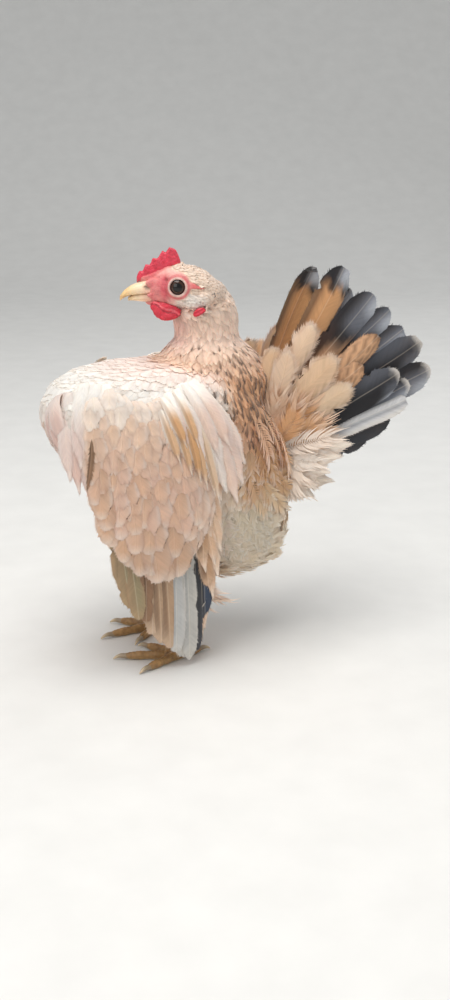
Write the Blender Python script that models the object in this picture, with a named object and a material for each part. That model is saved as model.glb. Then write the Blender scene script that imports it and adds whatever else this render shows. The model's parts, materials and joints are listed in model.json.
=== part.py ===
"""A life-size serama hen in show stance: breast high, head drawn back, wings hung
straight down beside the legs and the tail fanned upright.

The hen faces -Y, her left side is +X and +Z is up. Sizes are in metres.
"""

import math
import random

import bmesh
import bpy
from mathutils import Matrix, Vector

MM = 0.001
GAP = 0.3 * MM
SEED = 11

# Overall places, in millimetres from the point on the floor between the feet
SKULL_CENTRE = Vector((0.0, 14.9, 178.0))
HEAD_TURN = math.radians(-18.0)
TAIL_ROOT = Vector((5.5, 60.0, 99.0))

# Torso: top point, bottom point and half-width of each section, from breast to vent
TORSO_SECTIONS = (
    ((-50.0, 127.0), (-51.0, 116.0), 13.0),
    ((-43.5, 135.5), (-46.5, 105.5), 24.5),
    ((-31.0, 141.5), (-38.0, 92.5), 34.0),
    ((-13.0, 144.3), (-25.0, 78.5), 38.5),
    ((8.0, 145.2), (-11.5, 64.5), 39.5),
    ((28.0, 144.0), (2.5, 51.0), 38.5),
    ((44.0, 136.0), (18.0, 40.5), 36.0),
    ((55.0, 121.0), (33.0, 35.0), 32.0),
    ((62.0, 104.0), (45.5, 34.5), 27.0),
    ((65.5, 88.0), (56.5, 40.0), 20.0),
    ((67.5, 74.0), (63.5, 50.0), 11.0),
)
SHOULDER_FULLNESS = 0.66
BELLY_FULLNESS = 0.9
# Neck: front point, rear point and half-width of each section, from the skull down
NECK_SECTIONS = (
    ((16.0, 176.0), (35.0, 176.0), 8.0),
    ((13.0, 169.0), (39.0, 170.0), 10.5),
    ((13.5, 161.0), (43.5, 161.0), 12.0),
    ((12.5, 153.5), (46.0, 152.5), 15.0),
    ((7.5, 147.5), (54.0, 145.0), 20.5),
    ((2.0, 140.0), (60.0, 134.0), 26.0),
    ((5.0, 129.0), (57.0, 121.0), 27.5),
)
# Head, from beak root to back: place along Y, top, bottom and half-width
HEAD_SECTIONS = (
    (-12.5, 2.4, -8.6, 4.6),
    (-9.5, 5.0, -10.2, 6.8),
    (-4.5, 7.9, -11.8, 9.0),
    (1.5, 9.5, -12.8, 10.2),
    (7.5, 9.2, -13.2, 10.6),
    (13.5, 6.4, -12.6, 10.0),
    (18.5, 1.6, -10.8, 7.8),
    (21.5, -2.6, -7.6, 3.0),
)
UPPER_BEAK = (
    (-9.5, 3.0, -4.3, 4.9),
    (-13.5, 2.5, -4.3, 4.4),
    (-17.5, 1.4, -4.4, 3.8),
    (-21.5, -0.3, -4.8, 3.0),
    (-24.5, -2.4, -5.8, 2.0),
    (-26.6, -5.0, -7.2, 0.9),
)
LOWER_BEAK = (
    (-8.5, -3.6, -8.6, 4.3),
    (-13.5, -3.6, -8.0, 3.8),
    (-17.5, -3.9, -7.5, 3.1),
    (-20.5, -4.4, -7.2, 2.3),
    (-22.8, -5.6, -7.2, 1.1),
)
EYE_RADIUS = 4.9
EYE_DEPTH = 6.2
LID_RADIUS = 3.9
LID_THICKNESS = 0.75

# Comb outline, from its front foot over five points to its rear foot
COMB_OUTLINE = (
    (-18.2, 0.0), (-18.3, 3.4), (-17.2, 5.8), (-15.6, 5.6), (-14.2, 8.7),
    (-12.4, 8.3), (-10.8, 11.6), (-8.8, 11.2), (-6.6, 14.8), (-5.2, 13.6),
    (-3.4, 16.4), (-1.0, 15.4), (0.4, 12.4), (1.6, 8.0), (-6.0, 4.0),
)
COMB_THICKNESS = 2.6

# Wing surface, as a distance from the middle plane over the fore-aft place and height
WING_REACH = 44.0
WING_MID_Y = -8.0
WING_MID_Z = 105.0
WING_FRONT_CURL = 0.0075
WING_REAR_CURL = 0.0035
WING_TOP_CURL = 0.0066
WING_LOW_CURL = 0.00128
RIGHT_WING_BACK = 4.0

# Legs
LEG_X = 19.0
HOCK_Y = 16.5
HOCK_Z = 33.0
ANKLE_Z = 7.2
TOE_HEIGHT = 2.1
SCUTE_ROWS = 7

VANE_THICKNESS = 1.1

COLOURS = {
    "buff": ((0.78, 0.55, 0.36, 1.0), 0.75),
    "cream": ((0.85, 0.72, 0.58, 1.0), 0.75),
    "comb": ((0.62, 0.03, 0.05, 1.0), 0.45),
    "face": ((0.75, 0.25, 0.22, 1.0), 0.5),
    "horn": ((0.83, 0.62, 0.33, 1.0), 0.35),
    "eye": ((0.05, 0.02, 0.01, 1.0), 0.08),
    "scale": ((0.66, 0.45, 0.2, 1.0), 0.5),
}


def material(name):
    """The shared material of that name."""
    found = bpy.data.materials.get(name)
    if found:
        return found
    colour, roughness = COLOURS[name]
    made = bpy.data.materials.new(name)
    made.use_nodes = True
    shader = made.node_tree.nodes["Principled BSDF"]
    shader.inputs["Base Color"].default_value = colour
    shader.inputs["Roughness"].default_value = roughness
    return made


def object_from(name, mesh_builder):
    """A mesh object in the hen's collection from a bmesh in millimetres."""
    mesh = bpy.data.meshes.new(name)
    bmesh.ops.recalc_face_normals(mesh_builder, faces=mesh_builder.faces)
    bmesh.ops.scale(mesh_builder, vec=(MM, MM, MM), verts=mesh_builder.verts)
    mesh_builder.to_mesh(mesh)
    mesh_builder.free()
    made = bpy.data.objects.new(name, mesh)
    hen_collection().objects.link(made)
    return made


def hen_collection():
    """The collection that holds the hen's parts."""
    found = bpy.data.collections.get("serama_hen")
    if not found:
        found = bpy.data.collections.new("serama_hen")
        bpy.context.scene.collection.children.link(found)
    return found


def loft(name, rings):
    """A closed skin over rings of points, with a fan over each end."""
    builder = bmesh.new()
    rows = [[builder.verts.new(point) for point in ring] for ring in rings]
    count = len(rows[0])
    for near, far in zip(rows, rows[1:]):
        for k in range(count):
            following = (k + 1) % count
            builder.faces.new((near[k], near[following], far[following], far[k]))
    for row in (rows[0], rows[-1]):
        middle = builder.verts.new(sum((v.co for v in row), Vector()) / count)
        for k in range(count):
            builder.faces.new((row[k], row[(k + 1) % count], middle))
    return object_from(name, builder)


def oval(first, second, half_width, sides, fullness=(1.0, 1.0)):
    """A ring in the plane through two middle points, as wide as half_width each way.

    A fullness under 1 squares the first or the second half of the ring.
    """
    centre = (first + second) / 2
    half = (first - second) / 2
    ring = []
    for k in range(sides):
        angle = 2 * math.pi * (k + 0.5) / sides
        across, along_half = math.sin(angle), math.cos(angle)
        power = fullness[0] if along_half > 0 else fullness[1]
        across = math.copysign(abs(across) ** power, across)
        along_half = math.copysign(abs(along_half) ** power, along_half)
        ring.append(centre + half * along_half + Vector((half_width * across, 0, 0)))
    return ring


def ellipsoid(name, centre, radii, turn=None, segments=16, rings=8):
    """A closed ellipsoid about centre, turned by a matrix if one is given."""
    builder = bmesh.new()
    bmesh.ops.create_uvsphere(builder, u_segments=segments, v_segments=rings, radius=1.0)
    place = Matrix.Translation(centre) @ (turn or Matrix.Identity(4))
    place = place @ Matrix.Diagonal((*radii, 1.0))
    bmesh.ops.transform(builder, matrix=place, verts=builder.verts)
    return object_from(name, builder)


def block(name, low, high):
    """A box between two corners, as a cutter."""
    builder = bmesh.new()
    bmesh.ops.create_cube(builder, size=1.0)
    low, high = Vector(low), Vector(high)
    place = Matrix.Translation((low + high) / 2) @ Matrix.Diagonal((*(high - low), 1.0))
    bmesh.ops.transform(builder, matrix=place, verts=builder.verts)
    return object_from(name, builder)


def as_mesh(made):
    """The object's evaluated shape as a plain mesh object, and the first one removed."""
    graph = bpy.context.evaluated_depsgraph_get()
    mesh = bpy.data.meshes.new_from_object(made.evaluated_get(graph))
    builder = bmesh.new()
    builder.from_mesh(mesh)
    bmesh.ops.remove_doubles(builder, verts=builder.verts, dist=0.001 * MM)
    bmesh.ops.recalc_face_normals(builder, faces=builder.faces)
    builder.to_mesh(mesh)
    builder.free()
    name = made.name
    place = made.matrix_world.copy()
    bpy.data.objects.remove(made)
    plain = bpy.data.objects.new(name, mesh)
    plain.matrix_world = place
    hen_collection().objects.link(plain)
    return plain


def tube(name, points, radii, resolution=2):
    """A round, tapering tube through points, with filled ends."""
    curve = bpy.data.curves.new(name, "CURVE")
    curve.dimensions = "3D"
    curve.bevel_depth = MM
    curve.bevel_resolution = resolution
    curve.use_fill_caps = True
    spline = curve.splines.new("POLY")
    spline.points.add(len(points) - 1)
    for target, point, radius in zip(spline.points, points, radii):
        target.co = (*(Vector(point) * MM), 1.0)
        target.radius = radius
    made = bpy.data.objects.new(name, curve)
    hen_collection().objects.link(made)
    bpy.context.view_layer.update()
    return as_mesh(made)


def boolean(target, others, operation):
    """Target joined with, or cut by, every one of the others, which are then removed."""
    tools = bpy.data.collections.new("tools")
    bpy.context.scene.collection.children.link(tools)
    for other in others:
        hen_collection().objects.unlink(other)
        tools.objects.link(other)
        other.hide_render = True
        other.display_type = "WIRE"
    modifier = target.modifiers.new("shape", "BOOLEAN")
    modifier.operation = operation
    modifier.operand_type = "COLLECTION"
    modifier.collection = tools
    modifier.solver = "MANIFOLD"
    bpy.context.view_layer.update()
    shaped = as_mesh(target)
    for other in list(tools.objects):
        bpy.data.objects.remove(other)
    bpy.data.collections.remove(tools)
    return shaped


def keep_largest(made):
    """Only the object's largest closed surface is kept."""
    builder = bmesh.new()
    builder.from_mesh(made.data)
    unseen = set(builder.faces)
    islands = []
    while unseen:
        stack = [unseen.pop()]
        island = set(stack)
        while stack:
            for edge in stack.pop().edges:
                for face in edge.link_faces:
                    if face in unseen:
                        unseen.remove(face)
                        island.add(face)
                        stack.append(face)
        islands.append(island)
    islands.sort(key=lambda faces: sum(face.calc_area() for face in faces))
    spare = [face for island in islands[:-1] for face in island]
    bmesh.ops.delete(builder, geom=spare, context="FACES")
    loose = [vertex for vertex in builder.verts if not vertex.link_faces]
    bmesh.ops.delete(builder, geom=loose, context="VERTS")
    builder.to_mesh(made.data)
    builder.free()
    return made


def grown(made, by=GAP):
    """A copy of the object, swollen by the clearance that touching parts keep."""
    builder = bmesh.new()
    builder.from_mesh(made.data)
    builder.normal_update()
    shifts = [vertex.normal * by * min(vertex.calc_shell_factor(), 2.0) for vertex in builder.verts]
    for vertex, shift in zip(builder.verts, shifts):
        vertex.co += shift
    mesh = bpy.data.meshes.new(made.name + "_grown")
    builder.to_mesh(mesh)
    builder.free()
    copy = bpy.data.objects.new(mesh.name, mesh)
    hen_collection().objects.link(copy)
    return copy


def cut(target, *neighbours):
    """Target cut clear of each neighbour by the usual gap."""
    return keep_largest(boolean(target, [grown(other) for other in neighbours], "DIFFERENCE"))


def finish(made, slot, angle=50.0):
    """The object's material and shading."""
    made.data.materials.clear()
    made.data.materials.append(material(slot))
    made.data.shade_smooth()
    made.data.set_sharp_from_angle(angle=math.radians(angle))
    return made


def along(curve, share):
    """The point at a share of a smooth curve through a few points."""
    place = share * (len(curve) - 1)
    step = min(int(place), len(curve) - 2)
    part = place - step
    near, far = Vector(curve[step]), Vector(curve[step + 1])
    before = Vector(curve[step - 1]) if step else near * 2 - far
    after = Vector(curve[step + 2]) if step + 2 < len(curve) else far * 2 - near
    return (
        near * 2
        + (far - before) * part
        + (before * 2 - near * 5 + far * 4 - after) * part**2
        + (near * 3 - before - far * 3 + after) * part**3
    ) / 2


def vane(name, spine, normals, half_widths, tilt):
    """A feather's blade along a spine: a thin closed strip, thickest along its middle."""
    builder = bmesh.new()
    rows = []
    last = len(spine) - 1
    for k, (point, normal, half_width) in enumerate(zip(spine, normals, half_widths)):
        tangent = (spine[min(k + 1, last)] - spine[max(k - 1, 0)]).normalized()
        side = tangent.cross(normal).normalized()
        side = Matrix.Rotation(tilt, 3, tangent) @ side
        edge = side * half_width
        depth = side.cross(tangent).normalized() * min(VANE_THICKNESS / 2, half_width * 0.4)
        rows.append([builder.verts.new(corner) for corner in
                     (point - edge, point + depth, point + edge, point - depth)])
    for near, far in zip(rows, rows[1:]):
        for k in range(4):
            following = (k + 1) % 4
            builder.faces.new((near[k], near[following], far[following]))
            builder.faces.new((near[k], far[following], far[k]))
    builder.faces.new(rows[0])
    builder.faces.new(rows[-1])
    return object_from(name, builder)


# Where the cross-sections lie along a blade, and its half-width at each as a share
LONG_ROUND = ((0.0, 0.35), (0.35, 0.85), (0.7, 1.0), (0.93, 0.85), (1.0, 0.42))
SHORT_ROUND = ((0.0, 0.5), (0.55, 1.0), (0.87, 0.86), (1.0, 0.42))
POINTED = ((0.0, 0.5), (0.35, 1.0), (0.7, 0.85), (1.0, 0.1))


def wing_point(y, z, lift):
    """A point on the left wing's outer surface, raised by lift."""
    curl = WING_FRONT_CURL if y < WING_MID_Y else WING_REAR_CURL
    fall = WING_TOP_CURL if z > WING_MID_Z else WING_LOW_CURL
    reach = WING_REACH - curl * (y - WING_MID_Y) ** 2 - fall * (z - WING_MID_Z) ** 2
    slope_y = -2 * curl * (y - WING_MID_Y)
    slope_z = -2 * fall * (z - WING_MID_Z)
    normal = Vector((1.0, -slope_y, -slope_z)).normalized()
    return Vector((reach, y, z)) + normal * lift, normal


# Wing tiers: number, root curve and tip curve from front to rear, half-width,
# height at the root, height where it lies, tilt, and the outline of the blade
WING_TIERS = (
    ("flight", 13, ((-27, 76), (-31, 92), (-18, 107), (5, 123)),
     ((-15, 36), (-5, 9), (10, 6), (19.5, 36), (21, 66), (18.5, 92)),
     6.2, -3.0, -2.4, 11.0, LONG_ROUND),
    ("greater_covert", 7, ((-29, 99), (-14, 110), (4, 125)),
     ((-27, 66), (-13, 51), (3, 51), (14, 68), (17, 86)),
     8.2, -2.4, 0.0, 8.0, SHORT_ROUND),
    ("median_covert", 7, ((-28, 109), (-14, 118), (2, 131)),
     ((-33, 84), (-20, 70), (-4, 68), (9, 82), (15, 101)),
     7.4, -1.0, 2.0, 8.0, SHORT_ROUND),
    ("lesser_covert", 6, ((-25, 118), (-13, 126), (0, 136)),
     ((-35.5, 103), (-24, 90), (-10, 86), (3, 95), (10, 109)),
     6.8, 0.4, 3.8, 7.0, SHORT_ROUND),
    ("scapular", 5, ((-16, 128), (-6, 134), (6, 137)),
     ((6, 105), (15, 96), (24, 89), (28, 99)),
     5.2, 1.6, 5.2, 9.0, POINTED),
)


def mirror_x(made):
    """The object turned over to the hen's right side."""
    made.data.transform(Matrix.Diagonal((-1.0, 1.0, 1.0, 1.0)))
    made.data.flip_normals()
    return made


def wing(side, torso):
    """One hanging wing: the fleshy arm and its tiers of feathers."""
    draw = random.Random(SEED + side)
    builder = bmesh.new()
    bmesh.ops.create_uvsphere(builder, u_segments=16, v_segments=8, radius=1.0)
    for vertex in builder.verts:
        y = -12.0 + 23.0 * vertex.co.x
        z = 116.0 + 21.0 * vertex.co.y + 7.0 * vertex.co.x
        vertex.co = wing_point(y, z, -3.6 + 5.0 * vertex.co.z)[0]
    arm = object_from("arm", builder)
    blades = []
    for tier, count, roots, tips, half_width, root_lift, lift, tilt, outline in WING_TIERS:
        for k in range(count):
            share = k / (count - 1)
            root = along(roots, share)
            tip = along(tips, share) + Vector((draw.uniform(-0.8, 0.8), draw.uniform(-0.8, 0.8)))
            bow = (tip - root).orthogonal().normalized() * draw.uniform(0.3, 1.4)
            spine, normals, widths = [], [], []
            breadth = half_width * draw.uniform(0.94, 1.06)
            for station, share_of_width in outline:
                flat = root.lerp(tip, station) + bow * math.sin(math.pi * station)
                rise = min(station / 0.3, 1.0)
                point, normal = wing_point(
                    flat.x, flat.y, root_lift + (lift - root_lift) * rise * (2 - rise))
                spine.append(point)
                normals.append(normal)
                widths.append(breadth * share_of_width)
            blades.append(vane(f"{tier}_{k}", spine, normals, widths, math.radians(tilt)))
    made = boolean(arm, blades, "UNION")
    made.name = "wing_left" if side > 0 else "wing_right"
    if side < 0:
        mirror_x(made)
        made.data.transform(Matrix.Translation((0, RIGHT_WING_BACK * MM, 0)))
    return cut(made, torso)


# Tail tiers: number, root curve, tip curve of the left half and of the right half from
# top to bottom, half-width, outward bow, tilt, and the outline of the blade
TAIL_TIERS = (
    ("rectrix", 8, ((2, 56, 112), (4, 62, 101), (5, 63, 88)),
     ((9, 95.7, 183.3), (14, 109, 165), (18, 120, 149), (21, 135.3, 138), (22, 120.5, 117)),
     ((6, 85.3, 182.1), (13, 103, 171), (19, 118, 152), (22, 134, 130), (19, 121, 94)),
     6.9, 2.0, -9.0, LONG_ROUND),
    ("tail_covert", 6, ((5, 55, 115), (8, 62, 100), (7, 62, 84)),
     ((10, 80, 153), (15, 90.5, 140), (20, 96, 126), (21, 93, 108), (20, 91, 95)),
     ((10, 76, 152), (15, 88, 140), (20, 95, 126), (21, 93, 108), (20, 92, 92)),
     7.6, 2.6, -8.0, SHORT_ROUND),
    ("saddle_covert", 5, ((7, 53, 116), (12, 60, 101), (10, 62, 84)),
     ((13, 70, 145), (18, 75, 131), (23, 75, 112), (23, 79, 92)),
     ((13, 68, 144), (18, 75, 131), (23, 75, 112), (23, 79, 92)),
     7.2, 2.8, -6.0, SHORT_ROUND),
    ("under_covert", 3, ((5, 60, 88), (5, 61, 76)),
     ((12, 92, 81), (8, 82.7, 70.7)), ((12, 92, 80), (8, 82.7, 70.0)),
     6.4, 1.0, -6.0, POINTED),
)


def tail(side, torso):
    """One half of the tail: its root, long feathers and their coverts."""
    draw = random.Random(SEED * 3 + side)
    root = ellipsoid("tail_base", TAIL_ROOT, (8.5, 9.5, 18.0))
    blades = []
    for tier, count, roots, left, right, half_width, bow, tilt, outline in TAIL_TIERS:
        tips = left if side > 0 else right
        for k in range(count):
            share = k / (count - 1)
            base = along(roots, share)
            tip = along(tips, share) + Vector((0.0, draw.uniform(-1, 1), draw.uniform(-1, 1)))
            length = tip - base
            outward = Vector((1.0, 0.0, 0.0))
            outward = (outward - length * outward.dot(length) / length.length_squared).normalized()
            breadth = half_width * draw.uniform(0.95, 1.05)
            spine = [base + length * station + outward * bow * math.sin(math.pi * station)
                     for station, _ in outline]
            normals = [outward] * len(spine)
            widths = [breadth * width for _, width in outline]
            blades.append(vane(f"{tier}_{k}", spine, normals, widths, math.radians(tilt)))
    made = boolean(root, blades, "UNION")
    made.name = "tail_left" if side > 0 else "tail_right"
    wall = block("middle", (-60, 0, 0), (0.5 * GAP / MM, 200, 250))
    made = keep_largest(boolean(made, [wall], "DIFFERENCE"))
    if side < 0:
        mirror_x(made)
    return cut(made, torso)


def torso_shape():
    """Breast, back and belly, out to the tips of the body feathers."""
    rings = [oval(Vector((0, *top)), Vector((0, *bottom)), half_width, 28,
                  (SHOULDER_FULLNESS, BELLY_FULLNESS))
             for top, bottom, half_width in TORSO_SECTIONS]
    return loft("torso", rings)


def neck_shape():
    """The neck and its cape of hackle, still crossing head and torso."""
    rings = [oval(Vector((0, *front)), Vector((0, *rear)), half_width, 24)
             for front, rear, half_width in NECK_SECTIONS]
    return loft("neck", rings)


def head_place():
    """The matrix that sets a head piece on the neck, in millimetres."""
    return Matrix.Translation(SKULL_CENTRE * MM) @ Matrix.Rotation(HEAD_TURN, 4, "Z")


def set_on_neck(made):
    """A head piece moved from its own frame to its place."""
    made.data.transform(head_place())
    return made


def profile_loft(name, sections, sides):
    """A loft along Y through sections of place, top, bottom and half-width."""
    rings = [oval(Vector((0, y, top)), Vector((0, y, bottom)), half_width, sides)
             for y, top, bottom, half_width in sections]
    return loft(name, rings)


def lid(side):
    """The bare ring of skin round one eye."""
    builder = bmesh.new()
    major, minor, turns, sides = LID_RADIUS, LID_THICKNESS, 16, 5
    rows = []
    for k in range(turns):
        angle = 2 * math.pi * k / turns
        spoke = Vector((0, math.cos(angle), math.sin(angle)))
        row = []
        for j in range(sides):
            swing = 2 * math.pi * j / sides
            row.append(builder.verts.new(
                spoke * (major + minor * math.cos(swing))
                + Vector((side * (9.7 + minor * math.sin(swing)), 0, 0))))
        rows.append(row)
    for k in range(turns):
        near, far = rows[k], rows[(k + 1) % turns]
        for j in range(sides):
            following = (j + 1) % sides
            builder.faces.new((near[j], near[following], far[following], far[j]))
    return object_from("lid", builder)


def head_parts():
    """Skull, beak, comb, wattles, lobes and eyes, each fitted to the next."""
    eyes = [ellipsoid(name, Vector((side * EYE_DEPTH, 0, 0)),
                      (EYE_RADIUS, EYE_RADIUS, EYE_RADIUS), Matrix.Rotation(math.pi / 2, 4, "Y"),
                      16, 10)
            for name, side in (("eye_left", 1), ("eye_right", -1))]
    cheeks = [ellipsoid("cheek", Vector((side * 6.6, 7.5, -7.0)), (4.6, 6.0, 5.0), None, 12, 6)
              for side in (1, -1)]
    brows = [ellipsoid("brow", Vector((side * 7.4, -0.6, 4.2)), (2.4, 5.2, 1.6), None, 12, 6)
             for side in (1, -1)]
    skull = profile_loft("head", HEAD_SECTIONS, 20)
    skull = boolean(skull, [lid(1), lid(-1), *cheeks, *brows], "UNION")
    skull.name = "head"
    head = cut(skull, *eyes)
    head.name = "head"

    upper = profile_loft("beak_upper", UPPER_BEAK, 12)
    nostrils = [ellipsoid("nostril", Vector((side * 4.3, -14.2, -0.6)), (1.2, 1.5, 0.55),
                          segments=8, rings=6) for side in (1, -1)]
    upper = boolean(upper, nostrils, "DIFFERENCE")
    upper = cut(upper, head)
    upper.name = "beak_upper"
    lower = cut(profile_loft("beak_lower", LOWER_BEAK, 12), head, upper)
    lower.name = "beak_lower"

    comb = cut(comb_blade(), head, upper)
    comb.name = "comb"
    fittings = [comb]
    slope = Matrix.Rotation(math.radians(12), 4, "X")
    for side, word in ((1, "left"), (-1, "right")):
        lobes = [
            ellipsoid("fold", Vector((side * 6.3, -5.0, -11.0)), (2.0, 6.6, 4.6), None, 14, 8),
            ellipsoid("fold", Vector((side * 7.4, -3.6, -13.2)), (1.3, 5.2, 2.2), slope, 10, 6),
            ellipsoid("fold", Vector((side * 5.6, -9.8, -9.2)), (1.7, 3.0, 2.6), None, 10, 6),
        ]
        wattle = boolean(lobes[0], lobes[1:], "UNION")
        wattle = cut(wattle, head, lower, upper)
        wattle.name = "wattle_" + word
        lobe = ellipsoid("earlobe", Vector((side * 10.2, 9.6, -11.0)), (1.9, 3.2, 2.2),
                         Matrix.Rotation(math.radians(30), 4, "X"), 12, 8)
        lobe = cut(lobe, head)
        lobe.name = "earlobe_" + word
        fittings += [wattle, lobe]
    return head, upper, lower, fittings, eyes


def comb_blade():
    """The single comb, a thick blade with five points."""
    curve = bpy.data.curves.new("comb", "CURVE")
    curve.dimensions = "2D"
    curve.fill_mode = "BOTH"
    curve.extrude = (COMB_THICKNESS / 2 - 0.5) * MM
    curve.bevel_depth = 0.5 * MM
    curve.bevel_resolution = 1
    spline = curve.splines.new("POLY")
    spline.points.add(len(COMB_OUTLINE) - 1)
    for target, (y, z) in zip(spline.points, COMB_OUTLINE):
        target.co = (y * MM, z * MM, 0.0, 1.0)
    spline.use_cyclic_u = True
    made = bpy.data.objects.new("comb", curve)
    hen_collection().objects.link(made)
    upright = Matrix(((0, 0, 1, 0), (1, 0, 0, 0), (0, 1, 0, 0), (0, 0, 0, 1)))
    made.matrix_world = upright
    bpy.context.view_layer.update()
    made = as_mesh(made)
    made.data.transform(made.matrix_world)
    made.matrix_world = Matrix.Identity(4)
    return made


# Toes: name, heading from straight ahead towards the outside, and length
TOES = (
    ("inner", -53.0, 19.0),
    ("middle", -16.0, 26.0),
    ("outer", 27.0, 20.5),
    ("hind", -164.0, 12.0),
)
FOOT_PLACES = {1: (18.0, 8.0, 0.0), -1: (-21.0, 9.5, 8.0)}


def foot_and_claws(side, word):
    """One foot, flat under its toes, and its four claws."""
    x, y, turned = FOOT_PLACES[side]
    centre = Vector((x, y, 0.0))
    slant = Matrix.Rotation(math.radians(20), 4, "X")
    toes = [ellipsoid("ball", centre + Vector((0, 0, 2.6)), (4.2, 4.6, 3.2), slant, 12),
            tube("ankle", [centre + Vector((0, 0.4, 2.6)), centre + Vector((0, 1.6, ANKLE_Z + 1))],
                 (3.2, 2.9))]
    claws = []
    for name, heading, length in TOES:
        way = math.radians(side * (heading + turned))
        ahead = Vector((math.sin(way), -math.cos(way), 0.0))
        shares = (0.0, 0.22, 0.34, 0.55, 0.67, 0.9, 1.0)
        radii = (2.7, 2.15, 2.5, 1.95, 2.2, 1.75, 1.5)
        toes.append(tube("toe", [centre + ahead * length * share
                                 + Vector((0, 0, TOE_HEIGHT - 0.25 * share)) for share in shares],
                         radii))
        tip = centre + ahead * (length + GAP / MM) + Vector((0, 0, TOE_HEIGHT - 0.25))
        claw = tube(f"claw_{name}_{word}",
                    [tip, tip + ahead * 2.4 + Vector((0, 0, 0.25)),
                     tip + ahead * 4.6 - Vector((0, 0, 0.35)),
                     tip + ahead * 6.0 - Vector((0, 0, 1.25))],
                    (1.4, 1.15, 0.75, 0.3))
        claws.append(claw)
    foot = boolean(toes[0], toes[1:], "UNION")
    floor = block("floor", (-80, -80, -20), (80, 80, 0))
    roof = block("roof", (-80, -80, ANKLE_Z - GAP / MM), (80, 80, 40))
    foot = keep_largest(boolean(foot, [floor, roof], "DIFFERENCE"))
    foot.name = "foot_" + word
    return foot, claws


def leg(side, word, torso):
    """One leg: feathered thigh and scaled shank."""
    x, y, _ = FOOT_PLACES[side]
    hip = Vector((side * LEG_X, 12.0, 72.0))
    hock = Vector((side * LEG_X, HOCK_Y, HOCK_Z))
    ankle = Vector((x, y + 1.6, ANKLE_Z))
    thigh = tube("thigh_" + word,
                 [hip, hip.lerp(hock, 0.45), hip.lerp(hock, 0.75), hip.lerp(hock, 0.93), hock],
                 (13.0, 12.5, 9.0, 5.6, 3.6), 5)
    thigh = cut(thigh, torso)
    thigh.name = "thigh_" + word
    rows = SCUTE_ROWS
    points, radii = [], []
    top = hock + (hock - ankle).normalized() * 2.0
    for k in range(rows):
        for share, radius in ((0.12, 2.75), (0.3, 3.15), (0.85, 3.15)):
            points.append(top.lerp(ankle, (k + share) / rows))
            radii.append(radius + 0.25 * (rows - k) / rows)
    points.append(ankle - Vector((0, 0, 2.0)))
    radii.append(2.9)
    shank = tube("shank_" + word, points, radii, 2)
    below = block("below", (-80, -80, -20), (80, 80, ANKLE_Z))
    shank = keep_largest(boolean(shank, [below], "DIFFERENCE"))
    shank = cut(shank, thigh)
    shank.name = "shank_" + word
    return thigh, shank


def centre_on_floor():
    """Everything moved so that the origin is under the middle of the hen's box."""
    made = list(hen_collection().objects)
    corners = [vertex.co for part in made for vertex in part.data.vertices]
    low = Vector([min(corner[k] for corner in corners) for k in range(3)])
    high = Vector([max(corner[k] for corner in corners) for k in range(3)])
    shift = Vector((-(low.x + high.x) / 2, -(low.y + high.y) / 2, -low.z))
    for part in made:
        part.data.transform(Matrix.Translation(shift))


def main():
    for existing in list(bpy.data.objects):
        bpy.data.objects.remove(existing)

    torso = torso_shape()
    head, upper, lower, fittings, eyes = head_parts()
    for piece in (head, upper, lower, *fittings, *eyes):
        set_on_neck(piece)
    neck = cut(neck_shape(), torso, head, *[f for f in fittings if f.name != "comb"])
    neck.name = "neck"

    wings = [wing(side, torso) for side in (1, -1)]
    tails = [cut(tail(side, torso), neck) for side in (1, -1)]
    for made, word in zip(wings, ("left", "right")):
        made.name = "wing_" + word
    for made, word in zip(tails, ("left", "right")):
        made.name = "tail_" + word

    finish(torso, "cream")
    for made in (neck, *wings, *tails):
        finish(made, "buff")
    finish(head, "face")
    for made in (upper, lower):
        finish(made, "horn")
    for made in fittings:
        finish(made, "comb")
    for made in eyes:
        finish(made, "eye")
    for side, word in ((1, "left"), (-1, "right")):
        thigh, shank = leg(side, word, torso)
        foot, claws = foot_and_claws(side, word)
        finish(thigh, "cream")
        for made in (shank, foot):
            finish(made, "scale")
        for made in claws:
            finish(made, "horn")
    centre_on_floor()


main()
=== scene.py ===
"""A life-size serama hen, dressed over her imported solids.

Places are in millimetres from the point on the floor between her feet: she faces -Y,
her left side is +X and +Z is up. `placed` turns them into the frame's metres.
"""

import math
import random

import bmesh
import bpy
import numpy as np
from mathutils import Matrix, Vector, noise
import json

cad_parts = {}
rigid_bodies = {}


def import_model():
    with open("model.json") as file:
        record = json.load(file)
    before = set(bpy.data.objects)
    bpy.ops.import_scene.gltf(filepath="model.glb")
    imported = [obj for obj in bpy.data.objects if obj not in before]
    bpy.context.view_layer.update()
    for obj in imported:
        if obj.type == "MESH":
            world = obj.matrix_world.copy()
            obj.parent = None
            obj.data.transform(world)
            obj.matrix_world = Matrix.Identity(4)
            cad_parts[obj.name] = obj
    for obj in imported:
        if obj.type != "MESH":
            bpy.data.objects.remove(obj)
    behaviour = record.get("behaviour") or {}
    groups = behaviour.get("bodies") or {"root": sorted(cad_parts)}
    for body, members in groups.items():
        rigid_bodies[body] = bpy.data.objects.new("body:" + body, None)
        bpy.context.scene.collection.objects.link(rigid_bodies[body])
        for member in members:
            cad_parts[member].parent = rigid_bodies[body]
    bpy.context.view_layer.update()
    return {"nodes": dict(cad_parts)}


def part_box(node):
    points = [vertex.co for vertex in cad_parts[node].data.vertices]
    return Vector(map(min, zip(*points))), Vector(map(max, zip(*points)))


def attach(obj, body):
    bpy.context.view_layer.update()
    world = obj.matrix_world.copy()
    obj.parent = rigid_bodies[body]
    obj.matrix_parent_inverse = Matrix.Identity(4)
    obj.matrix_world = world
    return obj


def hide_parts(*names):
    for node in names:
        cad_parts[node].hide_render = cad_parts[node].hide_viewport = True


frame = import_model()

MM = 0.001
SEED = 11
SIDES = ((1, "left"), (-1, "right"))
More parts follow.
